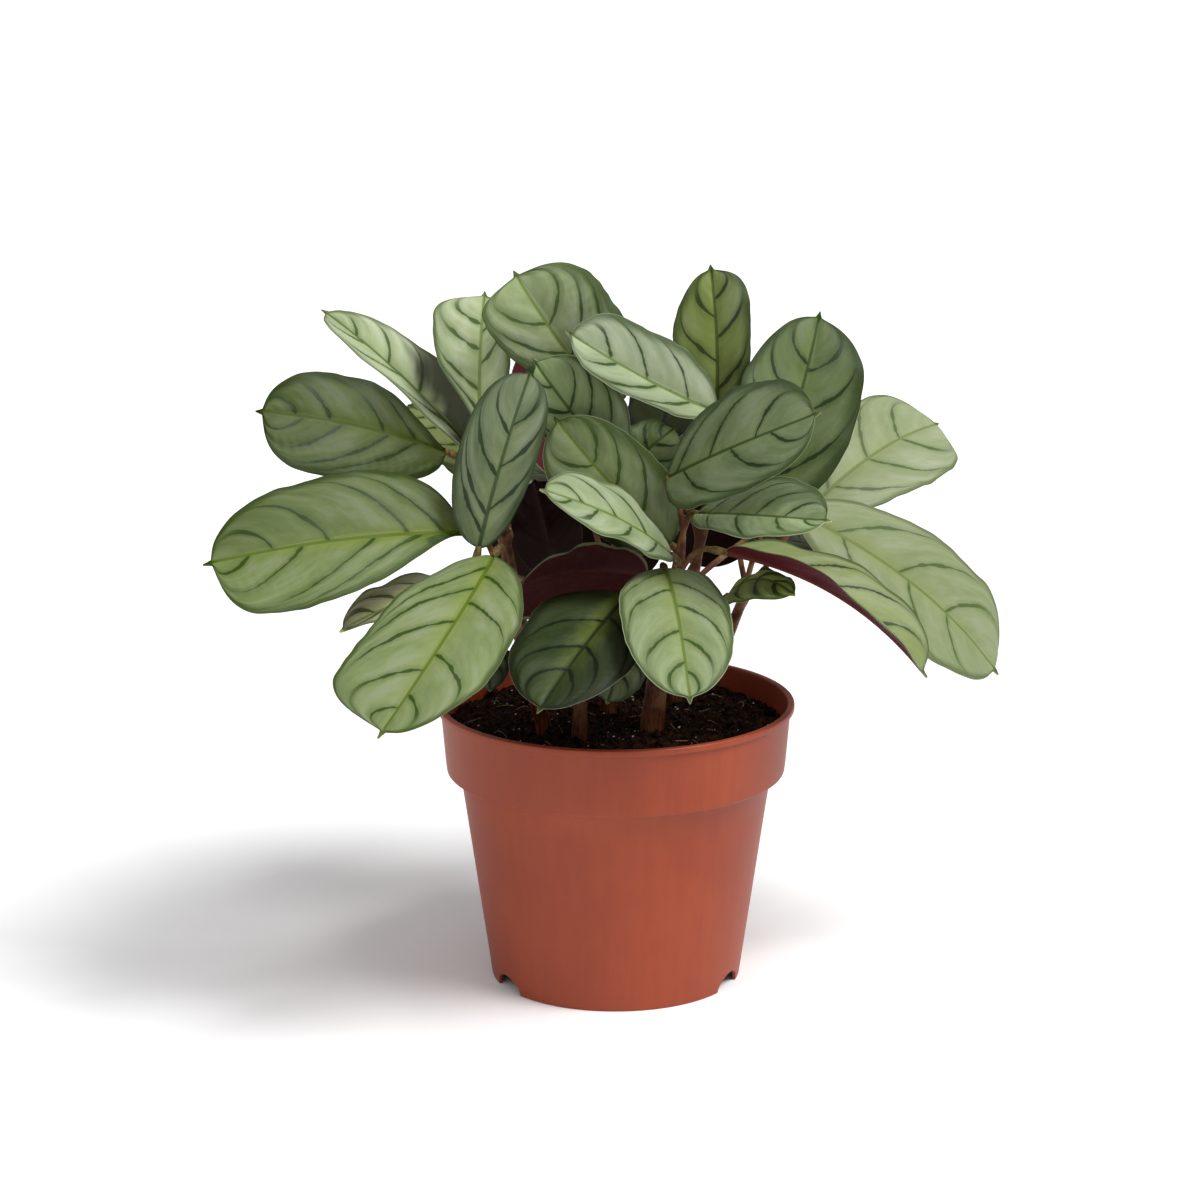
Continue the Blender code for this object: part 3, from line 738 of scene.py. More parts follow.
def shell_faces(rows, columns):
    """The faces of an upper and a lower grid of points, joined round the margin."""
    index = np.arange(rows * columns).reshape(rows, columns)
    corners = [index[:-1, :-1], index[:-1, 1:], index[1:, 1:], index[1:, :-1]]
    quads = np.stack(corners, -1).reshape(-1, 4)
    below = quads[:, ::-1] + rows * columns
    ring = np.concatenate([index[0, :-1], index[:-1, -1], index[-1, :0:-1], index[:0:-1, 0]])
    after = np.roll(ring, -1)
    wall = np.stack([after, ring, ring + rows * columns, after + rows * columns], -1)
    return np.concatenate([quads, below, wall]).tolist()


def outline_of(blade, along, across, draw):
    """How full the blade is, 1 at its widest, and how wide the half is that across is in."""
    leaf = blade.leaf
    sign = np.where(across > 0, 1.0, -1.0)
    ragged = sum(
        draw.uniform(0.3, 1.0) * np.sin(along * pace + draw.uniform(0, 6)) for pace in TIP_PACES
    )
    near_tip = np.clip((along - 0.86) / 0.1, 0.0, 1.0)
    shape = blade.half_width(along, across)
    shape = shape * (1.0 + 0.006 * ragged - 0.16 * leaf.torn * near_tip * np.abs(ragged))
    least = np.minimum(0.5 * NECK_WIDTH, POINT_END + POINT_FLARE * (1.0 - along))
    full = leaf.width * (0.5 + sign * leaf.side) * shape
    return shape, (full**2.5 + least**2.5) ** 0.4


def veins_of(blade, number, along, across, width, draw):
    """Both halves' phases, each point's own phase, how far apart bands are, and its vein."""
    leaf, reach = blade.leaf, np.abs(across)
    spots = along - swapped(across, leaf.rake) * vein_path(reach)
    phases, spans = [], []
    for given in (leaf.left, leaf.right):
        phase, span = phase_at(band_starts(given, draw), spots)
        phases.append(phase)
        spans.append(span)
    steep = SWEEP + 2.0 * SWEEP_MORE * reach + TAIL * TAIL_END / (TAIL_END - reach) ** 2
    steep = swapped(across, leaf.rake) * steep / np.maximum(width, 1.0)
    pitch = swapped(across, spans) / np.hypot(1.0 / blade.length, steep)
    vein = spots * blade.length + swapped(across, (0.0, HALF_OFFSET)) + BLADE_OFFSET * number
    return phases, swapped(across, phases), pitch, vein


def relief_of(reach, aside, own, pitch, vein, draw):
    """How high the upper side stands: fine pleats, the quilting between bands, and dimples."""
    inside = np.clip(reach / 0.15, 0, 1) * np.clip((1 - reach) / 0.25, 0, 1)
    height = PLEAT_HEIGHT * np.sin(2 * math.pi * vein / PLEAT_STEP) * inside
    height += QUILT * (0.5 - 0.5 * np.cos(2 * math.pi * own)) * inside
    dimples = np.sin(vein / 2.6 + draw.uniform(0, 6)) * np.sin(aside / 2.1 + 0.08 * vein)
    height += PUCKER * dimples * inside
    to_band = np.abs(own - np.round(own)) * pitch
    return height - BAND_DENT * np.exp(-((to_band / 0.7) ** 2)) * inside


print("relief up to", PLEAT_HEIGHT + QUILT + PUCKER, "mm high")

# %% One blade
def add_blade(number, leaf, finish):
    """Makes one blade, with the numbers that its finish reads."""
    draw = np.random.default_rng(100 + number)
    blade = Blade(leaf)
    along, across = np.meshgrid(ALONG, ACROSS, indexing="ij")
    reach, sign = np.abs(across), np.where(across > 0, 1.0, -1.0)
    shape, width = outline_of(blade, along, across, draw)
    aside = width * reach
    phases, own, pitch, vein = veins_of(blade, number, along, across, width, draw)
    relief = relief_of(reach, aside, own, pitch, vein, draw)

    # How high the upper side lifts from the midrib, and how thick the blade is
    groove = GROOVE_DEPTH * np.exp(-((aside / 0.8) ** 2)) * (1.0 - 0.7 * along)
    sway = sum(
        draw.uniform(-EDGE_SWAY, EDGE_SWAY) * np.sin(along * pace + draw.uniform(0, 6) + 2 * sign)
        for pace in EDGE_PACES
    )
    tilt = np.radians(swapped(across, leaf.fold) - 0.5 * CURL * reach)
    ripple = np.sin(2.0 * math.pi * WAVES * along + WAVE_SHIFT * (across > 0)) * reach**2
    lift = aside * np.sin(tilt) + (WAVE * ripple + sway * reach**3) * shape + relief - groove
    thick = MARGIN_THICKNESS + (BLADE_THICKNESS - MARGIN_THICKNESS) * np.clip((width - aside) / 2.5, 0, 1)
    thick = thick + RIB_HEIGHT * np.exp(-((aside / RIB_HALF) ** 2)) * (1.0 - 0.75 * along) - groove

    middle, _, right, up = blade.frame(along)
    upper = middle + right * (sign * aside * np.cos(tilt))[..., None] + up * lift[..., None]
    lower = upper - up * thick[..., None]

    name = f"blade_{number:02d}"
    points = np.concatenate([upper.reshape(-1, 3), lower.reshape(-1, 3)])
    mesh = mesh_from(name, points, shell_faces(*along.shape))
    carried = {
        "bands": (phases[0], phases[1], pitch),
        "place": (across, along, SIDES),
        "reach": (aside, width - aside, vein),
        "tone": (leaf.gain * swapped(across, leaf.shade), leaf.light, leaf.warm),
        "wear_and_painted_light": (swapped(across, leaf.edge), leaf.hem, leaf.wear_and_glint),
        "cast": (leaf.pure, leaf.dusk, leaf.below),
    }
    for key, columns in carried.items():
        columns = [np.broadcast_to(column, (2, *along.shape)).ravel() for column in columns]
        carry(mesh, key, np.stack(columns, -1))
    return place(name, mesh, [finish], "leaf", f"leaf_{number:02d}", sharp=60.0)


print("grid", len(ALONG), "by", len(ACROSS), "points a side")

# %% [markdown]
# ## The blades' finish
# From far the blade is silver green, and that is a pattern, not a gloss: pale tissue
# between dark bands, darker again towards the margin, with a yellow tinge by the midrib.
# The darker margin is partly painted shade, and some blades and halves are lightened or
# darkened as painted light and shade.
# Below it is burgundy. An image would fix all of this at one size. Here it is drawn from
# the numbers that the mesh carries, so the bands stay sharp and each blade differs.

# %% Blade finish
def blade_finish(name, ground, bright, dark, band, rib):
    """The banded upper side and the burgundy lower side, for one family of tones."""
    finish = Finish(name)
    phase_left, phase_right, pitch = finish.parts("bands")
    across, along, upper = finish.parts("place")
    to_rib, to_margin, vein = finish.parts("reach")
    gain, light, warm = finish.parts("tone")
    edge, hem, wear_and_glint = finish.parts("wear_and_painted_light")
    pure, dusk, deep = finish.parts("cast")
    reach = across.size()

    def veined(ahead, aside, layer, *noise):
        """Noise that follows the veins; each layer has its own."""
        return finish.noise(finish.vector(ahead, aside, layer), *noise)

    # Noise along the veins, and soft clouds
    streaks = veined(vein, to_rib * 0.10, 0.0, 1.6, 3.0, 0.6)
    cells = veined(vein, to_rib, 3.0, 3.2, 3.0, 0.6)
    clouds = veined(vein, to_rib * 0.6, 7.0, 0.11, 2.0)

    # Ground
    patches = veined(vein, to_rib, 23.0, 0.3, 3.0, 0.55)
    share = streaks * 0.25 + clouds * 1.2 + patches * 0.5 + cells * 0.25 - 0.6 + light * 0.5
    body = finish.blend(share.rise(0.0, 1.0), ground, bright)
    grey = (patches + clouds).rise(0.95, 1.25) * to_rib.rise(1.0, 6.0)
    by_rib = (to_rib - patches * 5.0).rise(5.0, -2.0) * along.rise(1.1, 0.2) * warm
    body = finish.blend(by_rib * 0.7, body, YELLOW_GREEN)
    tip = along.rise(0.95, 0.99)
    body = finish.blend(tip * 0.7, body, YELLOW_GREEN)
    # The dark rim is partly the blade's own darker margin and partly painted shade
    rim = (to_margin + clouds * 2.2 + streaks * 0.8 - 1.5).rise(edge * 1.5, edge * 0.3)
    body = finish.blend(rim * (tip * -0.7 + 0.85), body, dark)

    # Bands: thick from close to the midrib on, of uneven width, with thin tails
    phase = phase_left + (phase_right - phase_left) * across.above(0.0)
    wander = veined(vein * 0.05, to_rib, 5.0, 0.17, 2.0)
    to_band = ((phase - phase.rounded()) * pitch + wander * 1.8 - 0.9).size()
    wide = (reach.rise(0.0, 0.1) * 0.4 + 0.6) * reach.rise(1.04, 0.55)
    swell = veined(vein * 0.05, to_rib, 11.0, 0.28, 3.0).rise(0.3, 0.7)
    half = wide * (swell * 0.5 + 0.2) + swell * 0.05
    line = to_band - half
    halo = line.rise(1.8, 0.0) * 0.3
    fade = (reach.rise(1.0, 0.78) * 0.6 + 0.4) * reach.rise(1.02, 0.9) * along.rise(0.985, 0.93)
    fade = fade * (along.rise(0.66, 0.88) * reach.rise(0.45, 0.8) * -0.8 + 1.0)
    stroke = line.rise(0.2, -0.12) * fade
    body = finish.blend(halo, body, dark)
    body = finish.blend(stroke * 0.94, body, band)

    # Midrib and the thin line along the margin
    rib_half = along * -0.3 + 0.62
    body = finish.blend((to_rib - rib_half).rise(0.3, -0.1) * (tip * -0.85 + 0.85), body, rib)
    body = finish.blend(to_margin.rise(0.5, 0.15) * along.rise(0.99, 0.94) * 0.7, body, band)

    # Pale marks: a line along the margin, partly the blade's pale edge and partly a painted
    # glint, and pale scrapes near it
    scrape = veined(vein * 1.4, to_rib * 0.5, 19.0, 0.7, 4.0, 0.7).rise(0.60, 0.72)
    glint_and_scrapes = to_margin.rise(0.3, 0.1).most(scrape * to_margin.rise(6.0, 1.0) * 0.8)
    body = finish.blend(glint_and_scrapes * wear_and_glint, body, SCAR_AND_GLINT)
    # Painted shade: dusk darkens the right half near the base
    painted_base_shade = (across * 0.25 - along + clouds * 0.6).rise(-0.08, 0.12) * dusk
    body = finish.blend(painted_base_shade, body, DUSK)
    # Painted light and shade: gain and each half's shade scale the upper side's brightness
    body = finish.toned(body, Saturation=pure * (grey * -0.22 + 1.05), Value=gain)

    # Lower side: burgundy, its veins a little lighter
    fine = (streaks * 0.6 + cells * 0.4).rise(0.3, 0.7)
    below = finish.blend(fine, BURGUNDY_DARK, BURGUNDY)
    below = finish.blend(to_rib.rise(1.3, 0.6) * 0.5, below, BURGUNDY_RIB)
    below = finish.blend((hem - to_margin + streaks * 0.8).rise(0.0, 0.5), below, HEM)
    # Painted shade: where below is under 1, the lower side turns darker and browner
    below = finish.blend(deep * -0.8 + 0.8, below, PAINTED_SHADE_BROWN)
    below = finish.toned(below, Value=deep)
    top_side = upper.rise(0.45, 0.75)
    finish.set(
        Base_Color=finish.blend(top_side, below, body),
        Roughness=streaks * 0.12 + cells * 0.1 + stroke * -0.05 - top_side * 0.2 + 0.6,
        Specular_IOR_Level=0.18,
    )
    finish.bump(cells * 0.5 + streaks, 0.35, 0.00012)
    return finish


YELLOW_GREEN = colour(132, 146, 74)
BURGUNDY = colour(88, 30, 38)
BURGUNDY_DARK = colour(56, 18, 23)
BURGUNDY_RIB = colour(104, 56, 44)
SCAR_AND_GLINT = colour(186, 188, 160)
PAINTED_SHADE_BROWN = colour(60, 34, 16)
DUSK = colour(40, 43, 22)
HEM = colour(140, 148, 112)

# Besides the blades' own colours, the families hold painted light and shade: bright is a lit copy of
# silver, and blue and deep are partly shaded copies
TONES = {  # ground, bright, dark rim, band, midrib
    "silver": ((104, 118, 78), (142, 155, 112), (64, 80, 36), (54, 76, 26), (92, 110, 42)),
    "bright": ((124, 138, 104), (160, 172, 136), (70, 88, 46), (52, 72, 32), (92, 112, 54)),
    "lime": ((126, 140, 92), (152, 164, 116), (90, 106, 50), (76, 98, 40), (106, 124, 54)),
    "blue": ((72, 85, 55), (108, 121, 84), (50, 65, 30), (32, 49, 17), (46, 64, 24)),
    "olive": ((92, 104, 56), (120, 132, 80), (60, 74, 32), (38, 52, 20), (52, 66, 26)),
    "deep": ((48, 60, 34), (72, 84, 54), (34, 44, 22), (24, 34, 16), (40, 52, 24)),
    "grey": ((88, 92, 68), (112, 116, 90), (64, 68, 44), (46, 52, 30), (72, 76, 48)),
}
leaf_finishes = {
    tone: blade_finish("blade " + tone, *(colour(*screen) for screen in screens))
    for tone, screens in TONES.items()
}
print("tones:", ", ".join(leaf_finishes))

# %% All blades
for number, leaf in enumerate(LEAVES, 1):
    add_blade(number, leaf, leaf_finishes[leaf.tone])
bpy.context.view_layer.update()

# %% [markdown]
# ## The shoots
# Each shoot is a sheath that stands in the peat and the leaf stalks that leave it, grown
# as one. Separate tubes would show a seam at every joint. So the tubes are laid out along
# the solids' routes, merged by a voxel remesh, and smoothed a little, which rounds the
# forks as growth does. The colour then comes from how far each point is from the soil and
# from its blade.

# %% Shoot routes
SOIL_HEIGHT = 90.8
ROOT_DEPTH = 14.0
SHEATH_RADIUS = 2.7
SHEATH_TOP_RADIUS = 1.7
PETIOLE_RADIUS = 1.05
PULVINUS_RADIUS = 1.45
PULVINUS_LENGTH = 5.0
FIRST_PETIOLE = 0.45
LAST_PETIOLE = 0.97
PETIOLE_LEAN = 0.45
STALK_STEPS = 22
PULVINUS_STEPS = 6
SHEATH_STEPS = 10
TAPER_START = 0.1
GROWTH_HEIGHT = 40.0  # over this height above the soil the stem's colour changes
VOXEL = 0.36


def tube(points, radii):
    """A round rod along points, with its own radius at each, as a mesh in metres."""
    curve = bpy.data.curves.new("rod", "CURVE")
    curve.dimensions = "3D"
    curve.bevel_depth = MM
    curve.bevel_resolution = 3
    curve.use_fill_caps = True
    spline = curve.splines.new("POLY")
    spline.points.add(len(points) - 1)
    for knot, point, radius in zip(spline.points, points, radii):
        knot.co = (*(Vector(point) * MM), 1.0)
        knot.radius = radius
    guide = add_object("rod", curve)
    mesh = baked(guide)
    bpy.data.objects.remove(guide, do_unlink=True)
    return mesh


def stalk_route(leaf, foot, top, share):
    """Points and radii of a stalk from inside the sheath to its blade."""
    start = foot.lerp(top, share)
    line = (top - foot).normalized()
    blade = Blade(leaf)
    end_line = Vector(leaf.stalk).normalized() if leaf.stalk else Vector(blade.frame(0.0)[1].tolist())
    end = Vector(leaf.base) + end_line * 0.5
    knee = end - end_line * (PULVINUS_LENGTH + 1.0)
    sway = Vector(leaf.sway)
    leave = start + line * (PETIOLE_LEAN * (end - start).length) + sway
    arrive = knee - end_line * leaf.neck + sway
    points = list(interpolate_bezier(start, leave, arrive, knee, STALK_STEPS))
    radii = [PETIOLE_RADIUS] * STALK_STEPS
    for step in range(1, PULVINUS_STEPS + 1):
        points.append(knee.lerp(end, step / PULVINUS_STEPS))
        swell = math.sin(math.pi * (step / PULVINUS_STEPS) ** 0.7)
        radii.append(PETIOLE_RADIUS + (PULVINUS_RADIUS - PETIOLE_RADIUS) * swell)
    return points, radii


print("stalks of", STALK_STEPS, "steps, voxels of", VOXEL, "mm")

# %% Building a shoot
def add_shoot(key, finish):
    """A sheath with its stalks, merged and smoothed, and what its finish reads."""
    foot_xy, top, stout = SHOOTS[key]
    foot, top = Vector((*foot_xy, SOIL_HEIGHT)), Vector(top)
    root = foot - Vector((0, 0, ROOT_DEPTH))
    shares = [step / SHEATH_STEPS for step in range(1, SHEATH_STEPS + 1)]
    guide_points = [root, foot] + [foot.lerp(top, share) for share in shares]
    guide_radii = [SHEATH_RADIUS] * 2
    for share in shares:
        tapered = max(share - TAPER_START, 0.0) / (1.0 - TAPER_START)
        guide_radii.append(SHEATH_RADIUS + (SHEATH_TOP_RADIUS - SHEATH_RADIUS) * tapered)
    guide_radii = [radius * stout for radius in guide_radii]
    rods = [tube(guide_points, guide_radii)]
    marks = [(point, 0.0) for point in guide_points]
    leaves = [leaf for leaf in LEAVES if leaf.shoot == key]
    for number, leaf in enumerate(leaves):
        share = FIRST_PETIOLE + (LAST_PETIOLE - FIRST_PETIOLE) * number / max(len(leaves) - 1, 1)
        points, radii = stalk_route(leaf, foot, top, share)
        rods.append(tube(points, radii))
        marks += [(point, (step + 1) / len(points)) for step, point in enumerate(points)]

    bm = bmesh.new()
    for rod in rods:
        bm.from_mesh(rod)
        bpy.data.meshes.remove(rod)
    guide = add_object("rods", mesh_of("rods", bm))
    remesh = guide.modifiers.new("merge", "REMESH")
    remesh.mode = "VOXEL"
    remesh.voxel_size = VOXEL * MM
    smooth = guide.modifiers.new("round off", "SMOOTH")
    smooth.factor = 0.5
    smooth.iterations = 3
    mesh = baked(guide)
    bpy.data.objects.remove(guide, do_unlink=True)
    mesh.name = "stem_" + key

    tree = kdtree.KDTree(len(marks))
    for index, (point, _) in enumerate(marks):
        tree.insert(point * MM, index)
    tree.balance()
    rows = []
    for vertex in mesh.vertices:
        _, index, _ = tree.find(vertex.co)
        rows.append((marks[index][1], (vertex.co.z / MM - SOIL_HEIGHT) / GROWTH_HEIGHT, 0.0))
    carry(mesh, "growth", rows)
    return place("stem_" + key, mesh, [finish], "petiole", "shoot_" + key, sharp=80.0)


stem = Finish("stem")
stalk_share, height, _ = stem.parts("growth")
lines = stem.noise(stem.streaked(stem.spot(), 0.12), 1500.0, 3.0, 0.6)
patches = stem.noise(stem.spot(), 160.0, 3.0)
low = stem.blend(lines.rise(0.35, 0.65), colour(58, 25, 12), colour(112, 60, 30))
high = stem.blend(lines.rise(0.35, 0.65), colour(66, 58, 28), colour(116, 98, 56))
reddish = stem.blend(patches.rise(0.4, 0.62), colour(80, 46, 30), colour(120, 90, 56))
skin = stem.blend((height + patches * 0.5).rise(0.1, 0.9), low, reddish)
skin = stem.blend((stalk_share + patches * 0.3).rise(0.6, 1.0), skin, high)
stem.set(Base_Color=skin, Roughness=lines * 0.2 + 0.46, Specular_IOR_Level=0.22)
stem.bump(lines, 0.5, 0.0002)

for key in SHOOTS:
    piece = add_shoot(key, stem)
    print(piece.name, len(piece.data.polygons), "faces")

# %% [markdown]
# ## The peat
# Peat is a mass of dark crumbs with a few pale fibres and grains. From above only its
# skin shows, but the drain holes show it from below, so the bed is a closed body that
# fills the pot. Its skin is a fine grid raised by noise, and loose crumbs, fibres and
# grains lie on it as real shapes, because a bump map alone looks flat against the rim.

# %% Peat bed
POT_HEIGHT = 95.3
WALL = 1.1
LIP_HEIGHT = 2.2
RIM_RADIUS = 60.0
COLLAR_TOP_RADIUS = 58.7
COLLAR_FOOT_RADIUS = 56.9
COLLAR_FOOT_HEIGHT = 71.6
WALL_TOP_RADIUS = 52.4
FOOT_RADIUS = 42.1
FLOOR_HEIGHT = 6.5
SOIL_RISE = 2.2
SOIL_BUMP = 1.0
BED_RINGS = 118
BED_SEGMENTS = 300
PEAT_GAP = 0.3  # air between the peat and the pot
LUMP_RISE = 2.6
CRUMB_RISE = 1.6
SWELL_RISE = 1.1
SKIN_DROP = 3.0  # keeps the raised skin inside its solid
FLOOR_RINGS = (30.0, 6.0)


def wall_radius(height):
    """The outer radius of the pot's tapered wall."""
    return FOOT_RADIUS + (WALL_TOP_RADIUS - FOOT_RADIUS) * height / COLLAR_FOOT_HEIGHT


def collar_radius(height):
    """The outer radius of the pot's collar."""
    share = (height - COLLAR_FOOT_HEIGHT) / (POT_HEIGHT - LIP_HEIGHT - COLLAR_FOOT_HEIGHT)
    return COLLAR_FOOT_RADIUS + (COLLAR_TOP_RADIUS - COLLAR_FOOT_RADIUS) * share


def peat_height(x, y):
    """The height of the peat's skin: the solid's slow rise and fall, with lumps on it."""
    radius, azimuth = math.hypot(x, y), math.atan2(x, -y)
    bump = math.sin(0.21 * radius + 3 * azimuth) + math.sin(0.13 * radius - 5 * azimuth + 1.0)
    height = SOIL_HEIGHT - SOIL_RISE * (radius / COLLAR_TOP_RADIUS) ** 2 + 0.5 * SOIL_BUMP * bump
    spot = Vector((x, y, 0.0))
    lumps = 0.9 - noise.voronoi(spot * 0.32)[0][0]
    crumbs = 0.9 - noise.voronoi(spot * 0.85 + Vector((9, 4, 0)))[0][0]
    swell = noise.fractal(spot * 0.18, 0.7, 2.1, 3)
    return height + LUMP_RISE * lumps + CRUMB_RISE * crumbs + SWELL_RISE * swell - SKIN_DROP


def ring_places(radius):
    """Places round the pot's axis at that radius."""
    turns = [2 * math.pi * step / BED_SEGMENTS for step in range(BED_SEGMENTS)]
    return [(radius * math.cos(turn), radius * math.sin(turn)) for turn in turns]


bed_rim = collar_radius(SOIL_HEIGHT - SOIL_RISE - SOIL_BUMP) - WALL - PEAT_GAP
bed = bmesh.new()
rings = []
for ring in range(1, BED_RINGS + 1):
    places = ring_places(bed_rim * ring / BED_RINGS)
    rings.append([bed.verts.new((x, y, peat_height(x, y))) for x, y in places])
ledge = COLLAR_FOOT_HEIGHT + WALL + PEAT_GAP
bottom = FLOOR_HEIGHT + WALL + PEAT_GAP
sides = [
    (COLLAR_FOOT_RADIUS - WALL - PEAT_GAP, ledge),
    (wall_radius(ledge) - WALL - PEAT_GAP, ledge),
    (wall_radius(bottom) - WALL - PEAT_GAP, bottom),
]
for radius, level in sides + [(radius, bottom) for radius in FLOOR_RINGS]:
    rings.append([bed.verts.new((x, y, level)) for x, y in ring_places(radius)])
centre = bed.verts.new((0, 0, peat_height(0, 0)))
for step in range(BED_SEGMENTS):
    after = (step + 1) % BED_SEGMENTS
    bed.faces.new((centre, rings[0][step], rings[0][after]))
    for inner, outer in zip(rings, rings[1:]):
        bed.faces.new((inner[step], outer[step], outer[after], inner[after]))
bed.faces.new(list(reversed(rings[-1])))
bed_mesh = closed_mesh("peat_bed", bed)

peat = Finish("peat")
coarse = peat.noise(peat.spot(), 420.0, 4.0, 0.65)
fine = peat.noise(peat.spot(), 2200.0, 3.0, 0.6)
tint = peat.blend(coarse.rise(0.42, 0.62), colour(9, 5, 3), colour(50, 31, 17))
tint = peat.blend(fine.rise(0.62, 0.72) * 0.7, tint, colour(150, 112, 74))
peat.set(Base_Color=tint, Roughness=fine * 0.2 + 0.75, Specular_IOR_Level=0.1)
peat.bump(fine + coarse * 2.0, 0.9, 0.0006)
place("peat_bed", bed_mesh, [peat], "soil", "soil", sharp=75.0)
print("bed of", len(bed_mesh.polygons), "faces")

# %% Crumbs, fibres and grains
CRUMBS = 1050
CRUMB_SIZES = (0.5, 2.0)
GRAINS = 240
GRAIN_SIZES = (0.16, 0.52)
FIBRES = 70
FIBRE_LENGTHS = (3, 11)
FIBRE_RADII = (0.09, 0.22)
FIBRE_STEPS = 9
RIM_CLEARANCE = 1.8
SQUASH = 0.75  # a lump's height against its width
draw = np.random.default_rng(7)


def lump(size, subdivisions):
    """The corners and faces of an uneven lump of that size."""
    ball = bmesh.new()
    bmesh.ops.create_icosphere(ball, subdivisions=subdivisions, radius=1.0)
    corners = np.array([vertex.co for vertex in ball.verts])
    sides = [[vertex.index for vertex in face.verts] for face in ball.faces]
    ball.free()
    offset = Vector(draw.uniform(0, 90, 3).tolist())
    swell = [1.0 + 0.45 * noise.noise(Vector(corner) * 1.7 + offset) for corner in corners.tolist()]
    scale = np.array((draw.uniform(0.7, 1.25), draw.uniform(0.7, 1.2), SQUASH * draw.uniform(0.7, 1.1)))
    turn = draw.uniform(0, 2 * math.pi)
    cosine, sine = math.cos(turn), math.sin(turn)
    spin = np.array(((cosine, -sine, 0), (sine, cosine, 0), (0, 0, 1)))
    return (corners * np.array(swell)[:, None] * scale * size) @ spin.T, sides


def scatter():
    """A place on the peat, clear of the rim, evenly over its area."""
    radius = (bed_rim - RIM_CLEARANCE) * math.sqrt(draw.uniform(0, 1))
    turn = draw.uniform(0, 2 * math.pi)
    x, y = radius * math.cos(turn), radius * math.sin(turn)
    return np.array((x, y, peat_height(x, y)))


def heap(name, count, sizes, subdivisions, sink):
    """Many lumps as one mesh; sink is how deep they lie, as a share of their size."""
    small, large = sizes
    points, faces, start = [], [], 0
    for _ in range(count):
        size = small + (large - small) * draw.uniform(0, 1) ** 2.5
        corners, sides = lump(size, subdivisions)
        points.append(corners + scatter() - np.array((0, 0, sink * size)))
        faces += [[start + index for index in side] for side in sides]
        start += len(corners)
    return mesh_from(name, np.concatenate(points), faces)


place("peat_crumbs", heap("peat_crumbs", CRUMBS, CRUMB_SIZES, 2, 0.1), [peat], "soil", sharp=75.0)

grain = Finish("mineral grain")
speckle = grain.noise(grain.spot(), 900.0, 2.0)
grain.set(Base_Color=grain.blend(speckle, colour(160, 138, 104), colour(228, 220, 202)), Roughness=0.7)
place("pale_grains", heap("pale_grains", GRAINS, GRAIN_SIZES, 1, -0.2), [grain], "soil")

strands = bmesh.new()
for _ in range(FIBRES):
    start = Vector(scatter().tolist())
    turn, length = draw.uniform(0, 2 * math.pi), draw.uniform(*FIBRE_LENGTHS)
    heading = Vector((math.cos(turn), math.sin(turn), 0))
    bow = Vector((-heading.y, heading.x, 0)) * draw.uniform(-0.35, 0.35) * length
    hop = Vector((0, 0, draw.uniform(0.2, 1.8)))
    ends = (start - heading * 0.5 * length, start + heading * 0.5 * length)
    if max(end.xy.length for end in ends) > bed_rim - 1.5:
        continue
    ends = [Vector((end.x, end.y, peat_height(end.x, end.y) - 0.1)) for end in ends]
    handles = [end.lerp(start, 0.6) + bow + hop for end in ends]
    route = interpolate_bezier(ends[0], *handles, ends[1], FIBRE_STEPS)
    rod = tube(route, [draw.uniform(*FIBRE_RADII)] * FIBRE_STEPS)
    strands.from_mesh(rod)
    bpy.data.meshes.remove(rod)
fibre_mesh = mesh_of("peat_fibres", strands)
fibre = Finish("fibre")
shade = fibre.noise(fibre.spot(), 500.0, 2.0).rise(0.3, 0.7)
fibre.set(Base_Color=fibre.blend(shade, colour(62, 42, 26), colour(132, 104, 72)), Roughness=0.75)
place("peat_fibres", fibre_mesh, [fibre], "soil")
print("crumbs", CRUMBS, "grains", GRAINS, "fibre faces", len(fibre_mesh.polygons))

# %% [markdown]
# ## The pot
# A nursery pot is moulded in one go from thin terracotta-coloured plastic: a rolled lip, a
# collar that stiffens it, a tapered wall, and a short skirt with shallow notches so that
# water can run out from under it. It is a solid of revolution, so one outline is spun
# round the axis, and the notches and drain holes are cut out of it.

# %% Pot outline
POT_SEGMENTS = 168
CENTRE_DRAIN_RADIUS = 5.0
NOTCH_AZIMUTHS = (-59, 64, 183)
NOTCH_HALF_WIDTH = 7.2
NOTCH_HEIGHT = 5.4
DRAIN_COUNT = 6
DRAIN_RADIUS = 3.6
DRAIN_CIRCLE = 29.0
LIP_ROUNDING = 0.7
LIP_UNDERSIDE = 0.45
COLLAR_ROUNDING = 1.1
FOOT_ROUNDING = 0.4
NOTCH_SIDES = 48
NOTCH_CUT = 8.0
DRAIN_SIDES = 32
DRAIN_CUT = 6.0


def arc(centre, radius, start, end, steps):
    """Points of a rounded corner, in degrees from outward to upward."""
    points = []
    for step in range(steps + 1):
        angle = math.radians(start + (end - start) * step / steps)
        points.append((centre[0] + radius * math.cos(angle), centre[1] + radius * math.sin(angle)))
    return points


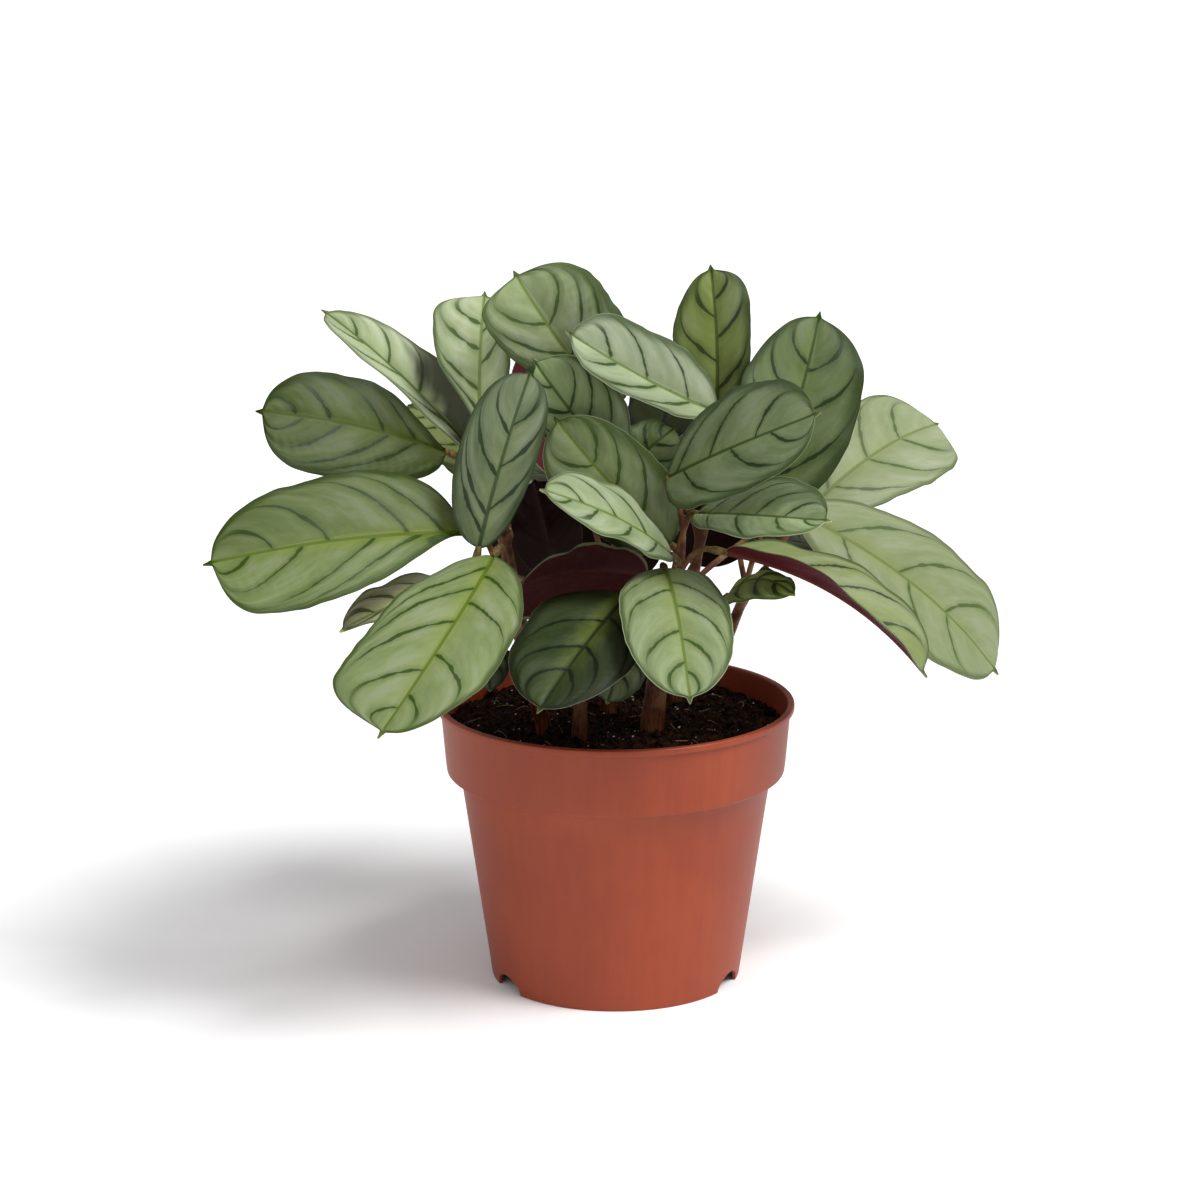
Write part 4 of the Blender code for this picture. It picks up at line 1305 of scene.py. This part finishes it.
floor_top = FLOOR_HEIGHT + WALL
ledge_top = COLLAR_FOOT_HEIGHT + WALL
lip_foot = POT_HEIGHT - LIP_HEIGHT
outline = arc((RIM_RADIUS - LIP_ROUNDING, POT_HEIGHT - LIP_ROUNDING), LIP_ROUNDING, 90, 0, 5)
outline += arc((RIM_RADIUS - LIP_UNDERSIDE, lip_foot + LIP_UNDERSIDE), LIP_UNDERSIDE, 0, -80, 4)
outline += [(COLLAR_TOP_RADIUS, lip_foot - 0.3)]
outline += [(collar_radius(level), level) for level in (88, 82, 76)]
corner = (COLLAR_FOOT_RADIUS - COLLAR_ROUNDING, COLLAR_FOOT_HEIGHT + COLLAR_ROUNDING)
outline += arc(corner, COLLAR_ROUNDING, 0, -90, 6)
outline += [(WALL_TOP_RADIUS + 0.5, COLLAR_FOOT_HEIGHT), (WALL_TOP_RADIUS, COLLAR_FOOT_HEIGHT - 0.6)]
outline += [(wall_radius(level), level) for level in (60, 48, 36, 24, 12)]
outline += arc((wall_radius(0.5) - FOOT_ROUNDING, FOOT_ROUNDING), FOOT_ROUNDING, 0, -90, 3)
outline += [(FOOT_RADIUS - WALL, 0.0), (wall_radius(FLOOR_HEIGHT) - WALL, FLOOR_HEIGHT)]
outline += [(CENTRE_DRAIN_RADIUS, FLOOR_HEIGHT), (CENTRE_DRAIN_RADIUS, floor_top)]
outline += [(wall_radius(floor_top) - WALL, floor_top), (wall_radius(ledge_top) - WALL, ledge_top)]
outline += [(COLLAR_FOOT_RADIUS - WALL, ledge_top), (COLLAR_TOP_RADIUS - WALL, POT_HEIGHT - 1.2)]
outline += arc((COLLAR_TOP_RADIUS - 0.3, POT_HEIGHT - LIP_ROUNDING), LIP_ROUNDING, 180, 90, 4)
print("outline of", len(outline), "points")

# %% Pot
def cylinder(radius, depth, segments):
    """A bmesh cylinder on the origin, upright."""
    bm = bmesh.new()
    bmesh.ops.create_cone(bm, cap_ends=True, segments=segments, radius1=radius, radius2=radius, depth=depth)
    return bm


def as_object(name, bm):
    """A loose object from a closed bmesh in millimetres."""
    return add_object(name, closed_mesh(name, bm))


cup = bmesh.new()
profile = [cup.verts.new((radius, 0.0, height)) for radius, height in outline]
edges = [cup.edges.new((a, b)) for a, b in zip(profile, profile[1:] + profile[:1])]
turned = {"axis": (0, 0, 1), "cent": (0, 0, 0), "angle": 2 * math.pi, "steps": POT_SEGMENTS}
bmesh.ops.spin(cup, geom=profile + edges, use_merge=True, **turned)
cup = as_object("cup", cup)
cutters = []
for azimuth in NOTCH_AZIMUTHS:
    away = Vector(direction(azimuth, 0).tolist())
    beside = Vector((0, 0, 1)).cross(away)
    bm = cylinder(1.0, NOTCH_CUT, NOTCH_SIDES)
    for vertex in bm.verts:
        across, up, reach = vertex.co
        vertex.co = away * (FOOT_RADIUS + reach) + beside * (across * NOTCH_HALF_WIDTH)
        vertex.co.z = up * NOTCH_HEIGHT
    cutters.append(as_object("notch", bm))
for number in range(DRAIN_COUNT):
    bm = cylinder(DRAIN_RADIUS, DRAIN_CUT, DRAIN_SIDES)
    hole = Vector((direction(360 * number / DRAIN_COUNT, 0) * DRAIN_CIRCLE).tolist())
    bmesh.ops.translate(bm, vec=(hole.x, hole.y, FLOOR_HEIGHT), verts=bm.verts)
    cutters.append(as_object("drain", bm))
group = bpy.data.collections.new("cutters")
for cutter in cutters:
    group.objects.link(cutter)
cut = cup.modifiers.new("cut", "BOOLEAN")
cut.operation = "DIFFERENCE"
cut.operand_type = "COLLECTION"
cut.collection = group
cut.solver = "EXACT"
pot_mesh = baked(cup)
for thing in [cup, *cutters]:
    bpy.data.objects.remove(thing, do_unlink=True)
bpy.data.collections.remove(group)
pot_mesh.name = "pot_shell"
print("pot of", len(pot_mesh.polygons), "faces")

# %% [markdown]
# ## The pot's finish
# The plastic is semi-matte: it has a soft sheen but mirrors nothing. Moulding leaves faint
# upright streaks and a fine grain, and handling leaves dull patches. The colour is dyed
# through, so wear only changes how rough it is.

# %% Pot finish
plastic = Finish("pot plastic")
streak = plastic.noise(plastic.streaked(plastic.spot(), 0.06), 260.0, 3.0, 0.6)
cloud = plastic.noise(plastic.spot(), 28.0, 3.0)
pores = plastic.noise(plastic.spot(), 3200.0, 2.0)
share = cloud * 0.6 + streak * 0.4
clay = plastic.blend(share.rise(0.3, 0.7), colour(134, 53, 26), colour(146, 63, 33))
plastic.set(Base_Color=clay, Roughness=cloud * 0.12 + streak * 0.08 + 0.4, Specular_IOR_Level=0.4)
plastic.bump(pores * 0.6 + streak * 0.8 + cloud, 0.25, 0.0002)
place("pot_shell", pot_mesh, [plastic], "pot_plastic", "pot", sharp=38.0)
